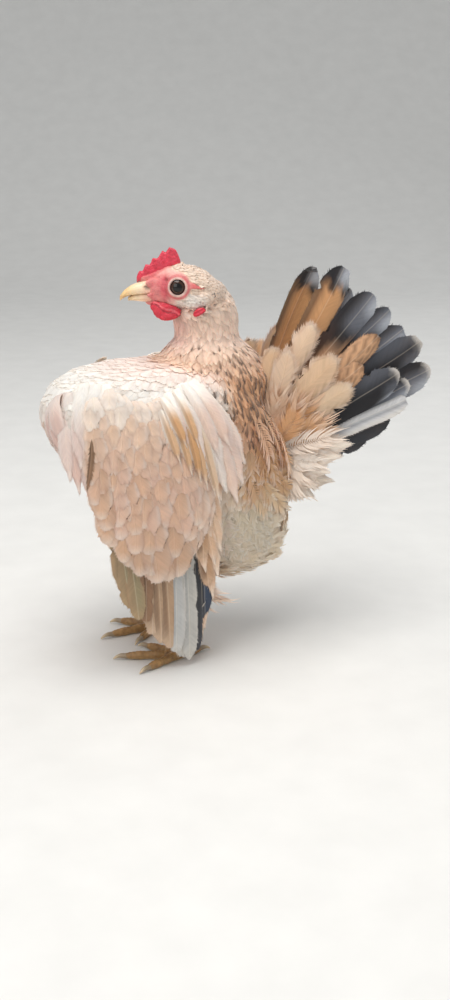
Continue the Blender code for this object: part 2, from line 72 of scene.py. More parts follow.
# Feathers to a square metre of skin, before those too close together are dropped
DENSEST_COAT = 4.0e6
# What each kind of mesh attribute calls its value
VALUE_KEYS = {"FLOAT_VECTOR": "vector", "FLOAT_COLOR": "color", "FLOAT": "value", "INT": "value"}

# The head's own frame: its middle, and its turn to her right
SKULL_CENTRE = Vector((0.0, 14.9, 178.0))
HEAD_TURN = math.radians(-18.0)
HEAD_PLACE = Matrix.Translation(SKULL_CENTRE) @ Matrix.Rotation(HEAD_TURN, 4, "Z")
EYE_RADIUS = 4.9
EYE_DEPTH = 6.2
TAIL_ROOT = Vector((5.5, 60.0, 99.0))

# The step from her own millimetres to the frame, read off the left eye
EYE_MIDDLE = (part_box("eye_left")[0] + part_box("eye_left")[1]) / 2 / MM
SHIFT = EYE_MIDDLE - HEAD_PLACE @ Vector((EYE_DEPTH, 0.0, 0.0))


def placed(points):
    """Points in her millimetres as points in the frame's metres."""
    return (np.asarray(points, float) + np.array(SHIFT)) * MM


def unplaced(points):
    """Points in the frame's metres as points in her millimetres."""
    return np.asarray(points, float) / MM - np.array(SHIFT)


def on_head(points):
    """Points in the head's own frame as points in her millimetres."""
    turn = np.array(HEAD_PLACE.to_3x3())
    return np.asarray(points, float) @ turn.T + np.array(SKULL_CENTRE)


def in_head(points):
    """Points in her millimetres as points in the head's own frame."""
    turn = np.array(HEAD_PLACE.to_3x3())
    return (np.asarray(points, float) - np.array(SKULL_CENTRE)) @ turn


def paint(red, green, blue):
    """A colour named in picture values from 0 to 255, as linear light."""
    return np.array([((c / 255 + 0.055) / 1.055) ** 2.4 for c in (red, green, blue)])


WHITE = paint(250, 241, 230)
CREAM = paint(241, 214, 190)
BLUSH = paint(233, 190, 170)
BUFF = paint(218, 168, 128)
GOLD = paint(212, 152, 96)
SAND = paint(182, 142, 110)
UMBER = paint(72, 46, 30)
SLATE = paint(112, 116, 126)
SILVER = paint(186, 190, 198)
INK = paint(26, 25, 29)
ROSE = paint(222, 128, 122)
CRIMSON = paint(198, 26, 54)
PALE_RING = paint(232, 202, 192)


def clamped(value):
    """The value, kept from zero to one."""
    return min(max(value, 0.0), 1.0)


def strayed(draw, *limits):
    """A random step, within limits on each axis."""
    return Vector([draw.uniform(*pair) for pair in limits])


def eased(low, high, value):
    """Zero below low and one above high, with a smooth step between."""
    share = np.clip((np.asarray(value, float) - low) / (high - low), 0.0, 1.0)
    return share * share * (3.0 - 2.0 * share)


def mixed(first, second, share):
    """Rows of colour on the way from first to second."""
    share = np.asarray(share, float)[..., None]
    return first * (1.0 - share) + second * share


def coated(colour, *coats):
    """A colour with others laid over it in turn, each by its share."""
    for over, share in coats:
        colour = mixed(colour, over, share)
    return colour


def wobble(points, scale, seed):
    """A smooth random value from about -1 to 1 at each point."""
    off = Vector((seed * 7.3, seed * 3.1, seed * 5.7))
    return np.array([noise.noise(Vector(p) / scale + off) for p in points])


def along(curve, share):
    """The point at a share of a smooth curve through a few points."""
    place = share * (len(curve) - 1)
    step = min(int(place), len(curve) - 2)
    part = place - step
    near, far = Vector(curve[step]), Vector(curve[step + 1])
    before = Vector(curve[step - 1]) if step else near * 2 - far
    after = Vector(curve[step + 2]) if step + 2 < len(curve) else far * 2 - near
    return (
        near * 2
        + (far - before) * part
        + (before * 2 - near * 5 + far * 4 - after) * part**2
        + (near * 3 - before - far * 3 + after) * part**3
    ) / 2


class Wiring:
    """A node tree, and short ways to add nodes to it."""

    def __init__(self, tree):
        self.tree = tree

    def feed(self, made, sockets):
        """Sets a node's inputs to constants, or links other nodes' results to them."""
        for key, value in dict(sockets).items():
            if isinstance(value, bpy.types.NodeSocket):
                self.tree.links.new(value, made.inputs[key])
            else:
                made.inputs[key].default_value = value

    def add(self, kind, sockets=(), **settings):
        """A node of that kind, with its properties and then its inputs."""
        made = self.tree.nodes.new(kind)
        for key, value in settings.items():
            setattr(made, key, value)
        self.feed(made, sockets)
        return made

    def result(self, kind, sockets=(), **settings):
        """The first result of a new node."""
        return self.add(kind, sockets, **settings).outputs[0]

    def maths(self, operation, *values):
        """The result of a Math node."""
        return self.result("ShaderNodeMath", enumerate(values), operation=operation)

    def blend(self, first, second, factor=1.0, mode="MULTIPLY"):
        """The colour of a Mix node."""
        sockets = {"Factor": factor, "A": first, "B": second}
        made = self.add("ShaderNodeMix", sockets, data_type="RGBA", blend_type=mode)
        return made.outputs["Result"]

    def ranged(self, value, low, high, start=0.0, end=1.0, **settings):
        """The value's place between start and end, as that place between low and high."""
        sockets = {"Value": value, "From Min": start, "From Max": end,
                   "To Min": low, "To Max": high}
        return self.result("ShaderNodeMapRange", sockets, **settings)

    def relief(self, height, strength, distance):
        """The normal of a Bump node."""
        sockets = {"Strength": strength, "Distance": distance, "Height": height}
        return self.result("ShaderNodeBump", sockets)

    def tint(self):
        """The colour painted on the mesh."""
        return self.add("ShaderNodeAttribute", attribute_name="tint").outputs["Color"]

    def object_noise(self, scale, detail):
        """Noise over the object's own place."""
        where = self.add("ShaderNodeTexCoord").outputs["Object"]
        sockets = {"Vector": where, "Scale": scale, "Detail": detail}
        return self.result("ShaderNodeTexNoise", sockets)


def new_material(name):
    """A node material, its shader and its wiring."""
    made = bpy.data.materials.new(name)
    made.use_nodes = True
    return made, made.node_tree.nodes["Principled BSDF"], Wiring(made.node_tree)


def shader_group(name, inputs, outputs):
    """A shader group's wiring, what it is given, and the node for what it gives."""
    group = bpy.data.node_groups.new(name, "ShaderNodeTree")
    for words, way in ((inputs, "INPUT"), (outputs, "OUTPUT")):
        for word in words:
            group.interface.new_socket(word, in_out=way, socket_type="NodeSocketFloat")
    w = Wiring(group)
    return w, w.add("NodeGroupInput").outputs, w.add("NodeGroupOutput")


def barb_group():
    """Shaft, barbs and worn edge of a feather, from its place across and along.

    Both places are in millimetres, so that the barbs have one size on every feather.
    """
    w, given, end = shader_group("feather barbs",
                                 ("Across", "Along", "Chance", "Barb Spacing", "Split"),
                                 ("Shaft", "Streak", "Height"))
    reach = w.maths("ABSOLUTE", given["Across"])
    slant = w.maths("SUBTRACT", given["Along"], w.maths("MULTIPLY", reach, 1.25))
    place = w.result("ShaderNodeCombineXYZ", {
        "X": w.maths("DIVIDE", slant, given["Barb Spacing"]),
        "Y": w.maths("MULTIPLY", given["Across"], 0.22),
        "Z": w.maths("MULTIPLY", given["Chance"], 50.0)})
    broad = w.result("ShaderNodeVectorMath", {0: place, 1: (0.22, 0.35, 1.0)},
                     operation="MULTIPLY")
    fine = w.result("ShaderNodeTexNoise", {"Vector": place, "Scale": 1.0, "Detail": 2.0})
    clumps = w.result("ShaderNodeTexNoise", {"Vector": broad, "Scale": 1.0, "Detail": 1.0})
    streak = w.maths("ADD", w.maths("MULTIPLY", fine, 0.55),
                     w.maths("MULTIPLY", clumps, given["Split"]))
    shaft = w.ranged(reach, 0.0, 1.0, 0.42, 0.14, interpolation_type="SMOOTHSTEP")
    height = w.maths("ADD", streak, w.maths("MULTIPLY", shaft, 0.9))
    w.feed(end, {"Shaft": shaft, "Streak": streak, "Height": height})
    return w.tree


def plumage_material(name, spacing=0.34, split=0.45, roughness=0.62, sheen=0.25,
                     shaft_show=0.2, soft=0.3, contrast=0.1, relief=0.35):
    """Feather vane: its painted tint, broken up by barbs and drawn by its shaft."""
    made, shader, w = new_material(name)
    tint = w.tint()
    blade = w.add("ShaderNodeAttribute", attribute_name="blade").outputs["Vector"]
    place = w.add("ShaderNodeSeparateXYZ", {0: blade}).outputs
    barbs = w.add("ShaderNodeGroup", {
        "Across": place["X"], "Along": place["Y"], "Chance": place["Z"],
        "Barb Spacing": spacing, "Split": split}, node_tree=BARBS).outputs
    shade = w.ranged(barbs["Streak"], 1.0 - contrast, 1.0 + contrast * 0.6, 0.25, 0.75)
    paler = w.blend(tint, (*paint(246, 232, 212), 1.0), 0.3, "MIX")
    shaft = w.maths("MULTIPLY", barbs["Shaft"], shaft_show)
    w.feed(shader, {
        "Base Color": w.blend(w.blend(tint, shade), paler, shaft, "MIX"),
        "Roughness": w.ranged(barbs["Streak"], roughness - 0.12, roughness + 0.14),
        "Normal": w.relief(barbs["Height"], relief, 0.00025),
        "Sheen Weight": sheen, "Sheen Roughness": 0.45, "Specular IOR Level": 0.3,
        "Subsurface Weight": soft, "Subsurface Radius": (0.0022, 0.0016, 0.0012),
        "Subsurface Scale": 1.0})
    return made


def flesh_group():
    """Pebbled bare skin, from the object's own place: its bumps and its blotches."""
    w, given, end = shader_group("pebbled skin", ("Pebble Size", "Blotch Size"),
                                 ("Pebbles", "Blotches"))
    where = w.add("ShaderNodeTexCoord").outputs["Object"]
    for size, kind, name in (("Pebble Size", "ShaderNodeTexVoronoi", "Pebbles"),
                             ("Blotch Size", "ShaderNodeTexNoise", "Blotches")):
        scale = w.maths("DIVIDE", 1.0, given[size])
        w.feed(end, {name: w.result(kind, {"Vector": where, "Scale": scale})})
    return w.tree


def flesh_material(name, pebble, blotch, roughness, bumps, dark, tone_and_root_shade, soft=0.12, coat=0.0):
    """Bare skin, comb or horn: a painted tint with pebbles and blotches."""
    made, shader, w = new_material(name)
    flesh = w.add("ShaderNodeGroup", {"Pebble Size": pebble * MM, "Blotch Size": blotch * MM},
                  node_tree=PEBBLED).outputs
    w.feed(shader, {
        "Base Color": w.blend(w.tint(), w.ranged(flesh["Blotches"], dark, tone_and_root_shade, 0.3, 0.7)),
        "Roughness": w.ranged(flesh["Blotches"], roughness - 0.1, roughness + 0.12),
        "Normal": w.relief(flesh["Pebbles"], bumps, 0.0003),
        "Subsurface Weight": soft, "Subsurface Radius": (0.0012, 0.0005, 0.0003),
        "Subsurface Scale": 1.0, "Coat Weight": coat, "Coat Roughness": 0.25})
    return made


def eye_material():
    """The eye: a black pupil in a dark brown iris, under a wet coat."""
    made, shader, w = new_material("eye")
    rays = w.ranged(w.object_noise(2600.0, 3.0), 0.5, 1.5)
    w.feed(shader, {
        "Base Color": w.blend(w.tint(), rays), "Roughness": 0.12, "Specular IOR Level": 0.3,
        "Coat Weight": 0.35, "Coat Roughness": 0.03})
    return made


BARBS = barb_group()
PEBBLED = flesh_group()
MATERIALS = {
    "vane": plumage_material("feather vane"),
    "covert": plumage_material("covert feather", spacing=0.36, split=0.5, roughness=0.6,
                               shaft_show=0.12, contrast=0.12),
    "down": plumage_material("downy feather", spacing=0.5, split=0.5, roughness=0.75, sheen=0.4,
                             shaft_show=0.05, soft=0.4, contrast=0.08, relief=0.2),
    "quill": plumage_material("quill feather", spacing=0.4, split=0.4, roughness=0.5, sheen=0.2,
                              shaft_show=0.4, soft=0.12, contrast=0.2, relief=0.5),
    "skin": flesh_material("bare skin", pebble=0.45, blotch=2.4, roughness=0.5, bumps=0.5,
                           dark=0.85, tone_and_root_shade=1.1),
    "comb": flesh_material("comb flesh", pebble=0.5, blotch=1.6, roughness=0.42, bumps=0.7,
                           dark=0.84, tone_and_root_shade=1.16, soft=0.15, coat=0.15),
    "horn": flesh_material("bill horn", pebble=0.9, blotch=3.0, roughness=0.38, bumps=0.12,
                           dark=0.88, tone_and_root_shade=1.08, soft=0.1, coat=0.2),
    "scale": flesh_material("leg scales", pebble=0.7, blotch=2.2, roughness=0.48, bumps=0.3,
                            dark=0.75, tone_and_root_shade=1.15, soft=0.05, coat=0.1),
    "eye": eye_material(),
}


def placed_object(name, data):
    """A new object in the scene."""
    made = bpy.data.objects.new(name, data)
    bpy.context.scene.collection.objects.link(made)
    return made


def mesh_from(builder, name="built"):
    """A bmesh's shapes as a mesh; the bmesh is freed."""
    mesh = bpy.data.meshes.new(name)
    builder.to_mesh(mesh)
    builder.free()
    return mesh


def join_mesh(builder, mesh):
    """Adds a mesh to a bmesh; the mesh is removed."""
    builder.from_mesh(mesh)
    bpy.data.meshes.remove(mesh)


def piece_from(name, mesh, material, nodes=()):
    """A finished piece that rides on the hen and stands for its CAD nodes."""
    mesh.materials.clear()
    mesh.materials.append(MATERIALS[material])
    made = placed_object(name, mesh)
    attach(made, "root")
    if nodes:
        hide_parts(*nodes)
    return made


def evaluated(made):
    """The object's evaluated shape as a plain mesh, and the object removed."""
    graph = bpy.context.evaluated_depsgraph_get()
    mesh = bpy.data.meshes.new_from_object(made.evaluated_get(graph))
    old = made.data
    bpy.data.objects.remove(made)
    bpy.data.meshes.remove(old)
    return mesh


def remeshed(builder, voxel, smoothing):
    """The closed shapes of a bmesh in metres joined into one even, smoothed skin."""
    made = placed_object("joined", mesh_from(builder))
    even = made.modifiers.new("even", "REMESH")
    even.mode = "VOXEL"
    even.voxel_size = voxel * MM
    soft = made.modifiers.new("soft", "SMOOTH")
    soft.factor = 0.5
    soft.iterations = smoothing
    return evaluated(made)


def cad_copy(builder, name, swell=0.0):
    """Adds a CAD node's closed surface to a bmesh, swollen a little."""
    part = bmesh.new()
    part.from_mesh(frame["nodes"][name].data)
    bmesh.ops.remove_doubles(part, verts=part.verts, dist=1e-6)
    part.normal_update()
    for vertex in part.verts:
        vertex.co += vertex.normal * swell * MM
    join_mesh(builder, mesh_from(part))


def join_rings(builder, near, far):
    """Faces between two closed rows of points."""
    count = len(near)
    for k in range(count):
        after = (k + 1) % count
        builder.faces.new((near[k], near[after], far[after], far[k]))


def add_ball(builder, centre, radii, turn=None, segments=24, rings=14, head=False, bend=None):
    """Adds an ellipsoid, in her millimetres or the head's, to a bmesh in metres."""
    made = bmesh.ops.create_uvsphere(builder, u_segments=segments, v_segments=rings, radius=1.0)
    spot = Matrix.Translation(centre) @ (turn or Matrix.Identity(4))
    spot = spot @ Matrix.Diagonal((*radii, 1.0))
    for vertex in made["verts"]:
        point = bend(vertex.co) if bend else spot @ vertex.co
        if head:
            point = HEAD_PLACE @ point
        vertex.co = (Vector(point) + SHIFT) * MM


def read(items, key, width=1, kind=np.float32):
    """One property of all the items of a mesh, as rows of numbers."""
    out = np.empty(len(items) * width, kind)
    items.foreach_get(key, out)
    return out.reshape(-1, width) if width > 1 else out


def corners_of(mesh):
    """The point at each corner of the mesh's faces."""
    return read(mesh.loops, "vertex_index", 1, np.int32)


def surface_of(mesh):
    """The mesh's points in her millimetres, and their normals."""
    points = read(mesh.vertices, "co", 3).astype(float)
    return unplaced(points), read(mesh.vertices, "normal", 3).astype(float)


def reshape(mesh, points):
    """Moves the mesh's points to places in her millimetres."""
    mesh.vertices.foreach_set("co", placed(points).astype(np.float32).ravel())
    mesh.update()


def store(mesh, name, kind, values, domain="POINT"):
    """Writes an attribute on the mesh."""
    found = mesh.attributes.get(name)
    if found:
        mesh.attributes.remove(found)
    layer = mesh.attributes.new(name, kind, domain)
    values = np.asarray(values)
    if kind == "FLOAT_COLOR":
        values = np.concatenate([values, np.ones((len(values), 1))], axis=1)
    dtype = np.int32 if kind == "INT" else np.float32
    layer.data.foreach_set(VALUE_KEYS[kind], values.astype(dtype).ravel())


def painted(mesh, tint):
    """The mesh, smooth and with a colour at each point."""
    store(mesh, "tint", "FLOAT_COLOR", tint)
    mesh.shade_smooth()
    return mesh


def fetch(mesh, name, width=1):
    """Reads a point attribute as rows of numbers."""
    layer = mesh.attributes[name]
    return read(layer.data, VALUE_KEYS[layer.data_type], width)


# The wing's surface, as a distance from the middle plane, as in the part's source

WING_REACH = 44.0
WING_MID_Y = -8.0
WING_MID_Z = 105.0
WING_FRONT_CURL = 0.0075
WING_REAR_CURL = 0.0035
WING_TOP_CURL = 0.0066
WING_LOW_CURL = 0.00128
RIGHT_WING_BACK = 7.0
RIGHT_WING_WIDTH = 0.8


def mirrored(p):
    """How far out, back and up places are, alike on both sides."""
    return np.abs(p[:, 0]), p[:, 1], p[:, 2]


def wing_point(y, z, lift):
    """A point on the left wing's outer surface, raised by lift, and its normal."""
    curl = WING_FRONT_CURL if y < WING_MID_Y else WING_REAR_CURL
    fall = WING_TOP_CURL if z > WING_MID_Z else WING_LOW_CURL
    reach = WING_REACH - curl * (y - WING_MID_Y) ** 2 - fall * (z - WING_MID_Z) ** 2
    normal = Vector((1.0, 2 * curl * (y - WING_MID_Y), 2 * fall * (z - WING_MID_Z))).normalized()
    return Vector((reach, y, z)) + normal * lift, normal


def plumage_at(p):
    """The coat's colour over the body, from places in her millimetres."""
    x, y, z = p.T
    ahead, high = in_head(p).T[1:]
    neck = np.maximum(eased(143, 150, z), eased(20, 34, y) * eased(106, 118, z - 0.15 * np.abs(x)))
    cape = mixed(paint(222, 163, 122), paint(252, 214, 190), eased(140, 158, z))
    shelf_foot = eased(139, 144, z) * eased(-22, -4, y) * eased(30, 22, np.abs(x))
    cheek = eased(-1.5, -4.5, high) * eased(15, 9, ahead) * eased(-5, -1, ahead)
    throat = eased(9, -1, ahead) * eased(-7, -13, high) * eased(150, 158, z)
    return coated(
        CREAM,
        (BLUSH, eased(138, 108, z) * eased(26, 4, y) * 0.75),
        (mixed(BLUSH, WHITE, 0.3), eased(112, 84, z) * eased(20, -6, y) * 0.5),
        (WHITE, eased(124, 137, z) * eased(40, 24, y)),
        (paint(246, 196, 176), shelf_foot * 0.55),
        # Partly the breast's own blush, partly painted shade: the lower front below the shelf is
        # painted a darker pinkish brown.
        (paint(212, 168, 152), eased(140, 112, z) * eased(-24, -40, y) * 0.7),
        (GOLD, eased(24, 42, y) * eased(80, 94, z) * 0.85),
        (paint(232, 212, 176), eased(98, 84, z) * eased(12, 30, y) * 0.7),
        (cape, neck),
        (BLUSH, neck * eased(132, 118, z) * 0.3),
        (GOLD, neck * eased(34, 50, y) * eased(150, 135, z) * 0.4),
        (CREAM, eased(164, 180, z) * 0.75),
        (WHITE, cheek * eased(166, 170, z) * 0.75),
        (paint(236, 186, 176), throat * 0.6))


def is_neck(p):
    """Where the neck's hackle grows."""
    x, y, z = mirrored(p)
    return np.maximum(eased(144.5, 147.5, z), eased(16, 30, y) * eased(106, 116, z - 0.15 * x))


def bare_face(p):
    """How bare the head is: one on the face, nothing where small feathers grow."""
    x, y, z = mirrored(in_head(p))
    far = np.hypot(y + 0.4, z - 0.3)
    front = eased(-0.6, -2.6, y - 0.12 * np.abs(z)) * eased(-13.5, -11.5, z)
    crown = eased(6.4, 7.4, z - 0.1 * x) * eased(-4.0, -2.0, y)
    line = np.abs(z - 0.9 + 0.17 * (y - 4.0))
    thin = 2.0 - 0.2 * (y - 4.0)
    streak = eased(thin + 0.3, thin - 0.3, line) * eased(13.0, 11.5, y) * eased(3.0, 4.5, y)
    bare = np.maximum(np.maximum(eased(6.9, 5.9, far), front) * (1 - crown), streak)
    return bare * eased(22, 18, np.abs(y))


def lie_at(p, n):
    """The way the feathers lie on the body, along its surface."""
    x, y, z = p.T
    out = np.stack([x, y - 26.0, np.zeros(len(p))], axis=1)
    out /= np.maximum(np.linalg.norm(out, axis=1, keepdims=True), 1e-6)
    way = out * 0.8 + np.array([0.0, 0.0, -1.0])
    way += np.array([0.0, 1.0, 0.0]) * (eased(100, 60, z) * 0.9)[:, None]
    saddle = eased(40, 52, y) * eased(80, 95, z) * eased(146, 140, z)
    way = mixed(way, np.array([0.0, 1.0, -0.25]), saddle * 0.8)
    neck = is_neck(p)
    way = mixed(way, np.stack([x * 0.01, (y - 28) * 0.012, -np.ones(len(p))], axis=1), neck)
    head = eased(160, 172, z)
    h = in_head(p)
    back = np.stack([h[:, 0] * 0.02, np.ones(len(p)), -0.25 - 0.5 * eased(2, 14, h[:, 1])
                     - 0.6 * eased(-6, -12, h[:, 2])], axis=1)
    turn = np.array(HEAD_PLACE.to_3x3())
    way = mixed(way, back @ turn.T, head)
    way -= n * np.sum(way * n, axis=1, keepdims=True)
    return way / np.maximum(np.linalg.norm(way, axis=1, keepdims=True), 1e-6)


def under_wing(p):
    """Where the wing covers the body, so that no coat grows there."""
    x, y, z = mirrored(p)
    top = 126 - 0.012 * (y + 10) ** 2
    return (x > 29) & (y > -31) & (y < 15) & (z < top) & (z > 70)


# The numbers of the coat's regions; on the right side they are higher by ten
REGIONS = {"none": 0, "head": 1, "neck": 2, "breast": 3, "saddle": 4, "belly": 5}
RIGHT_SIDE = 10
# Where the regions end, and how bare a face may be and still grow feathers
SADDLE_Y = 36
SADDLE_Z = 84
BELLY_Y = 8
BELLY_Z = 92
THIGH_Z = 66
NECK_TOP_Z = 174
BARE_LIMIT = 0.35


def coat_depth(p):
    """How deep the coat is at each place, in millimetres."""
    y, z = p[:, 1], p[:, 2]
    depth = 2.8 + 0.8 * eased(20, 45, y) + 0.8 * eased(90, 60, z) * eased(0, 30, y)
    neck = is_neck(p)
    return depth * (1 - neck) + neck * (2.2 - 3.6 * eased(153, 168, z))


def body_skin():
    """The flesh of torso, neck and thighs, with the wings' arms and the tail's root."""
    builder = bmesh.new()
    for name in ("torso", "neck", "thigh_left", "thigh_right"):
        cad_copy(builder, name, 0.4)
    for side, _ in SIDES:
        def arm(ball, side=side):
            y = -12.0 + 22.0 * ball.x
            z = 116.0 + 20.0 * ball.y + 7.0 * ball.x
            point = wing_point(y, z, -4.5 + 5.0 * ball.z)[0]
            back = RIGHT_WING_BACK if side < 0 else 0.0
            return Vector((side * point.x, point.y + back, point.z))
        add_ball(builder, (0, 0, 0), (1, 1, 1), bend=arm)
        add_ball(builder, (side * TAIL_ROOT.x, TAIL_ROOT.y - 1, TAIL_ROOT.z), (7.5, 8.5, 16.0))
    bmesh.ops.recalc_face_normals(builder, faces=builder.faces)
    mesh = remeshed(builder, voxel=1.15, smoothing=10)
    points, facing = surface_of(mesh)
    reshape(mesh, points - facing * coat_depth(points)[:, None])
    return mesh


def add_ring(builder, side, major, minor, out, stretch=1.0):
    """Adds a lid fold round one eye to a bmesh in metres."""
    turns, sides = 48, 10
    rows = []
    for k in range(turns):
        angle = 2 * math.pi * k / turns
        spoke = Vector((0, math.cos(angle) * stretch, math.sin(angle)))
        row = []
        for j in range(sides):
            swing = 2 * math.pi * j / sides
            point = spoke * (major + minor * math.cos(swing))
            point += Vector((side * (out + minor * math.sin(swing)), 0, 0))
            row.append(builder.verts.new((HEAD_PLACE @ point + SHIFT) * MM))
        rows.append(row)
    for k in range(turns):
        join_rings(builder, rows[k], rows[(k + 1) % turns])


# Swellings on each side of the head: centre, radii and tilt
HEAD_SWELLINGS = (
    ((7.9, 12.2, -5.2), (3.4, 4.6, 4.0), 0), ((4.4, -8.6, -3.6), (1.5, 4.2, 1.0), 0),
    ((3.6, -11.0, 1.0), (1.5, 3.8, 2.3), 0), ((4.3, -10.8, -4.3), (1.0, 3.4, 1.2), 0),
    ((8.6, 5.6, -5.4), (2.0, 5.5, 2.6), -16),
)
# Balls along the ridge from the bill to the crown, on which the comb stands
RIDGE_BALLS = 20


def head_skin():
    """The head's skin with lids, brow, gape and cheek, pebbled where it is bare."""
    builder = bmesh.new()
    cad_copy(builder, "head")
    for side, _ in SIDES:
        add_ring(builder, side, 3.95, 0.62, 9.75)
        add_ring(builder, side, 5.0, 0.42, 9.35, 1.04)
        for (x, y, z), radii, tilt in HEAD_SWELLINGS:
            turn = Matrix.Rotation(math.radians(tilt), 4, "X")
            add_ball(builder, (side * x, y, z), radii, turn, head=True)
    add_ball(builder, (0, 25.0, 167.5), (10.2, 12.8, 9.0), Matrix.Rotation(0.3, 4, "X"))
    add_ball(builder, (0, 31.0, 172.0), (7.6, 8.0, 8.0))
    add_ball(builder, (0, -11.8, 2.5), (2.4, 3.8, 1.3), head=True)
    add_ball(builder, (0, -11.0, -7.8), (3.9, 4.0, 1.6), head=True)
    for share in np.linspace(0, 1, RIDGE_BALLS):
        add_ball(builder, (0, -15.0 + 16.5 * share, 2.5 + 6.4 * share), (2.0, 2.3, 2.2), head=True)
    bmesh.ops.recalc_face_normals(builder, faces=builder.faces)
    mesh = remeshed(builder, voxel=0.42, smoothing=4)
    points, facing = surface_of(mesh)
    bare = bare_face(points)
    depth = 0.75 * (1 - bare) + 3.2 * eased(169.5, 161, points[:, 2])
    pebbles = 0.14 * wobble(points, 0.9, 3) + 0.2 * wobble(points, 2.2, 5)
    reshape(mesh, points + facing * (bare * pebbles - depth)[:, None])
    return mesh


def skin():
    """One skin for torso, neck, head and thighs, with the coat's lie written on it."""
    body, crown = body_skin(), head_skin()
    head_start = len(body.vertices)
    builder = bmesh.new()
    for mesh in (body, crown):
        join_mesh(builder, mesh)
    mesh = mesh_from(builder, "skin")
    mesh.shade_smooth()
    points, facing = surface_of(mesh)
    y, z = points[:, 1:].T
    neck = is_neck(points)
    head = (np.arange(len(points)) >= head_start).astype(float)
    ahead, high = in_head(points).T[1:]
    size = 1 + 0.9 * eased(8, 20, ahead) + 0.5 * eased(-8, -14, high)

    def blended(body_value, neck_value, head_value):
        value = body_value * (1 - neck) + neck * neck_value
        return (value * (1 - head) + head * head_value * size) * MM

    long = 15.5 + 1.5 * eased(100, 60, z)
    long = long + 5.0 * eased(38, 55, y) * (1 - neck) + 6.0 * eased(128, 112, z) * eased(5, -15, y)
    wide = 9.0 + 1.0 * eased(146, 120, z)
    lift = np.maximum(coat_depth(points), 1.1) * 0.66
    lift = lift * (1 - 0.3 * eased(126, 137, z) * (1 - neck))
    store(mesh, "lie", "FLOAT_VECTOR", lie_at(points, facing))
    store(mesh, "facing", "FLOAT_VECTOR", facing)
    store(mesh, "long", "FLOAT", blended(long, 7.5 + 6.0 * eased(170, 130, z), 3.2))
    store(mesh, "wide", "FLOAT", blended(wide, 3.2 + 2.2 * eased(168, 132, z), 1.7))
    store(mesh, "lift", "FLOAT", (lift * (1 - head) + head * 0.55 * size) * MM)
    tint = mixed(plumage_at(points) * 0.92, face_colour(points), bare_face(points) * head)
    store(mesh, "tint", "FLOAT_COLOR", tint)
    middle = unplaced(read(mesh.polygons, "center", 3))
    on = corners_of(mesh)[read(mesh.polygons, "loop_start", 1, np.int32)] >= head_start
    y, z = middle[:, 1:].T
    region = np.full(len(middle), REGIONS["breast"], np.int32)
    region[(y > SADDLE_Y) & (z > SADDLE_Z)] = REGIONS["saddle"]
    region[((z < BELLY_Z) & (y > BELLY_Y)) | (z < THIGH_Z)] = REGIONS["belly"]
    region[is_neck(middle) > 0.5] = REGIONS["neck"]
    region[under_wing(middle) | (z > NECK_TOP_Z)] = REGIONS["none"]
    region[on] = REGIONS["head"]
    region[on & (bare_face(middle) > BARE_LIMIT)] = REGIONS["none"]
    region[(middle[:, 0] < 0) & (region > 0)] += RIGHT_SIDE
    store(mesh, "region", "INT", region, "FACE")
    return piece_from("skin", mesh, "skin",
                      ("torso", "neck", "head", "thigh_left", "thigh_right"))


def face_colour(p):
    """The bare face: rose, redder before the eye and below the comb, pale on the lids."""
    side, y, z = mirrored(in_head(p))
    far = np.hypot(y, z)
    eye = eased(5, 7, side)
    lore = eased(10.5, 6.5, far) * eased(-2, -6, y) + 0.35 * eased(-7, -12, y)
    lore = np.minimum(lore + 0.5 * np.maximum(wobble(p, 1.5, 8), 0.0), 1.2)
    lid = eased(3.35, 3.6, far) * eased(4.6, 4.25, far) * eye
    streak = eased(0.5, 0.2, np.abs(z - 2.1 + 0.22 * (y - 4.0))) * eased(7.5, 9.0, y)
    comb_foot = eased(2.6, 1.2, side) * eased(-19, -15, y) * eased(1.0, 3.0, z - 0.4 * (y + 15))
    return coated(
        mixed(paint(208, 108, 112), BLUSH, 0.25),
        (paint(190, 58, 76), lore * 0.7),
        (paint(238, 198, 184), eased(3.5, 7.0, z) * eased(-15, -6, y) * 0.6),
        (PALE_RING, eased(-3.5, -7.5, z) * eased(-7, -1, y) * 0.7),
        (paint(228, 178, 160), eased(-12.5, -16.5, y) * 0.8),
        (paint(196, 88, 94), eased(0.7, 0.2, np.abs(far - 5.2)) * eye * 0.6),
        (paint(212, 188, 176), lid * 0.85),
        (paint(70, 40, 36), eased(3.6, 3.3, far) * (side > 8) * 0.85),
        (paint(212, 98, 98), eased(5.2, 7.5, y) * 0.8),
        (UMBER, streak * 0.8),
        (CRIMSON, comb_foot * 0.75))


# Feathers: every blade is a closed sheet, thicker along its shaft


def blade_grid(rows, columns, outline, round_tip, fray, draw):
    """Shares across (-1 to 1) and along (0 to 1) of a blade's points, row by row."""
    across = np.linspace(-1.0, 1.0, columns)
    along_rows = np.linspace(0.0, 1.0, rows)
    stations, widths = zip(*outline)
    width = np.interp(along_rows, stations, widths)
    wide = width[:, None] * across[None, :]
    pull = round_tip * np.abs(across) ** 2.6
    far = along_rows[:, None] * (1.0 - pull[None, :] * along_rows[:, None] ** 2)
    edge = np.abs(across)[None, :] ** 2
    tip = (along_rows[:, None] ** 6) * np.ones((1, columns))
    for j in range(rows):
        for c in range(columns):
            wide[j, c] *= 1.0 + fray * edge[0, c] * draw.uniform(-1.0, 0.5)
            far[j, c] += fray * 0.5 * draw.uniform(-1.0, 0.3) * max(edge[0, c] * 0.4, tip[j, c])
    return wide, far


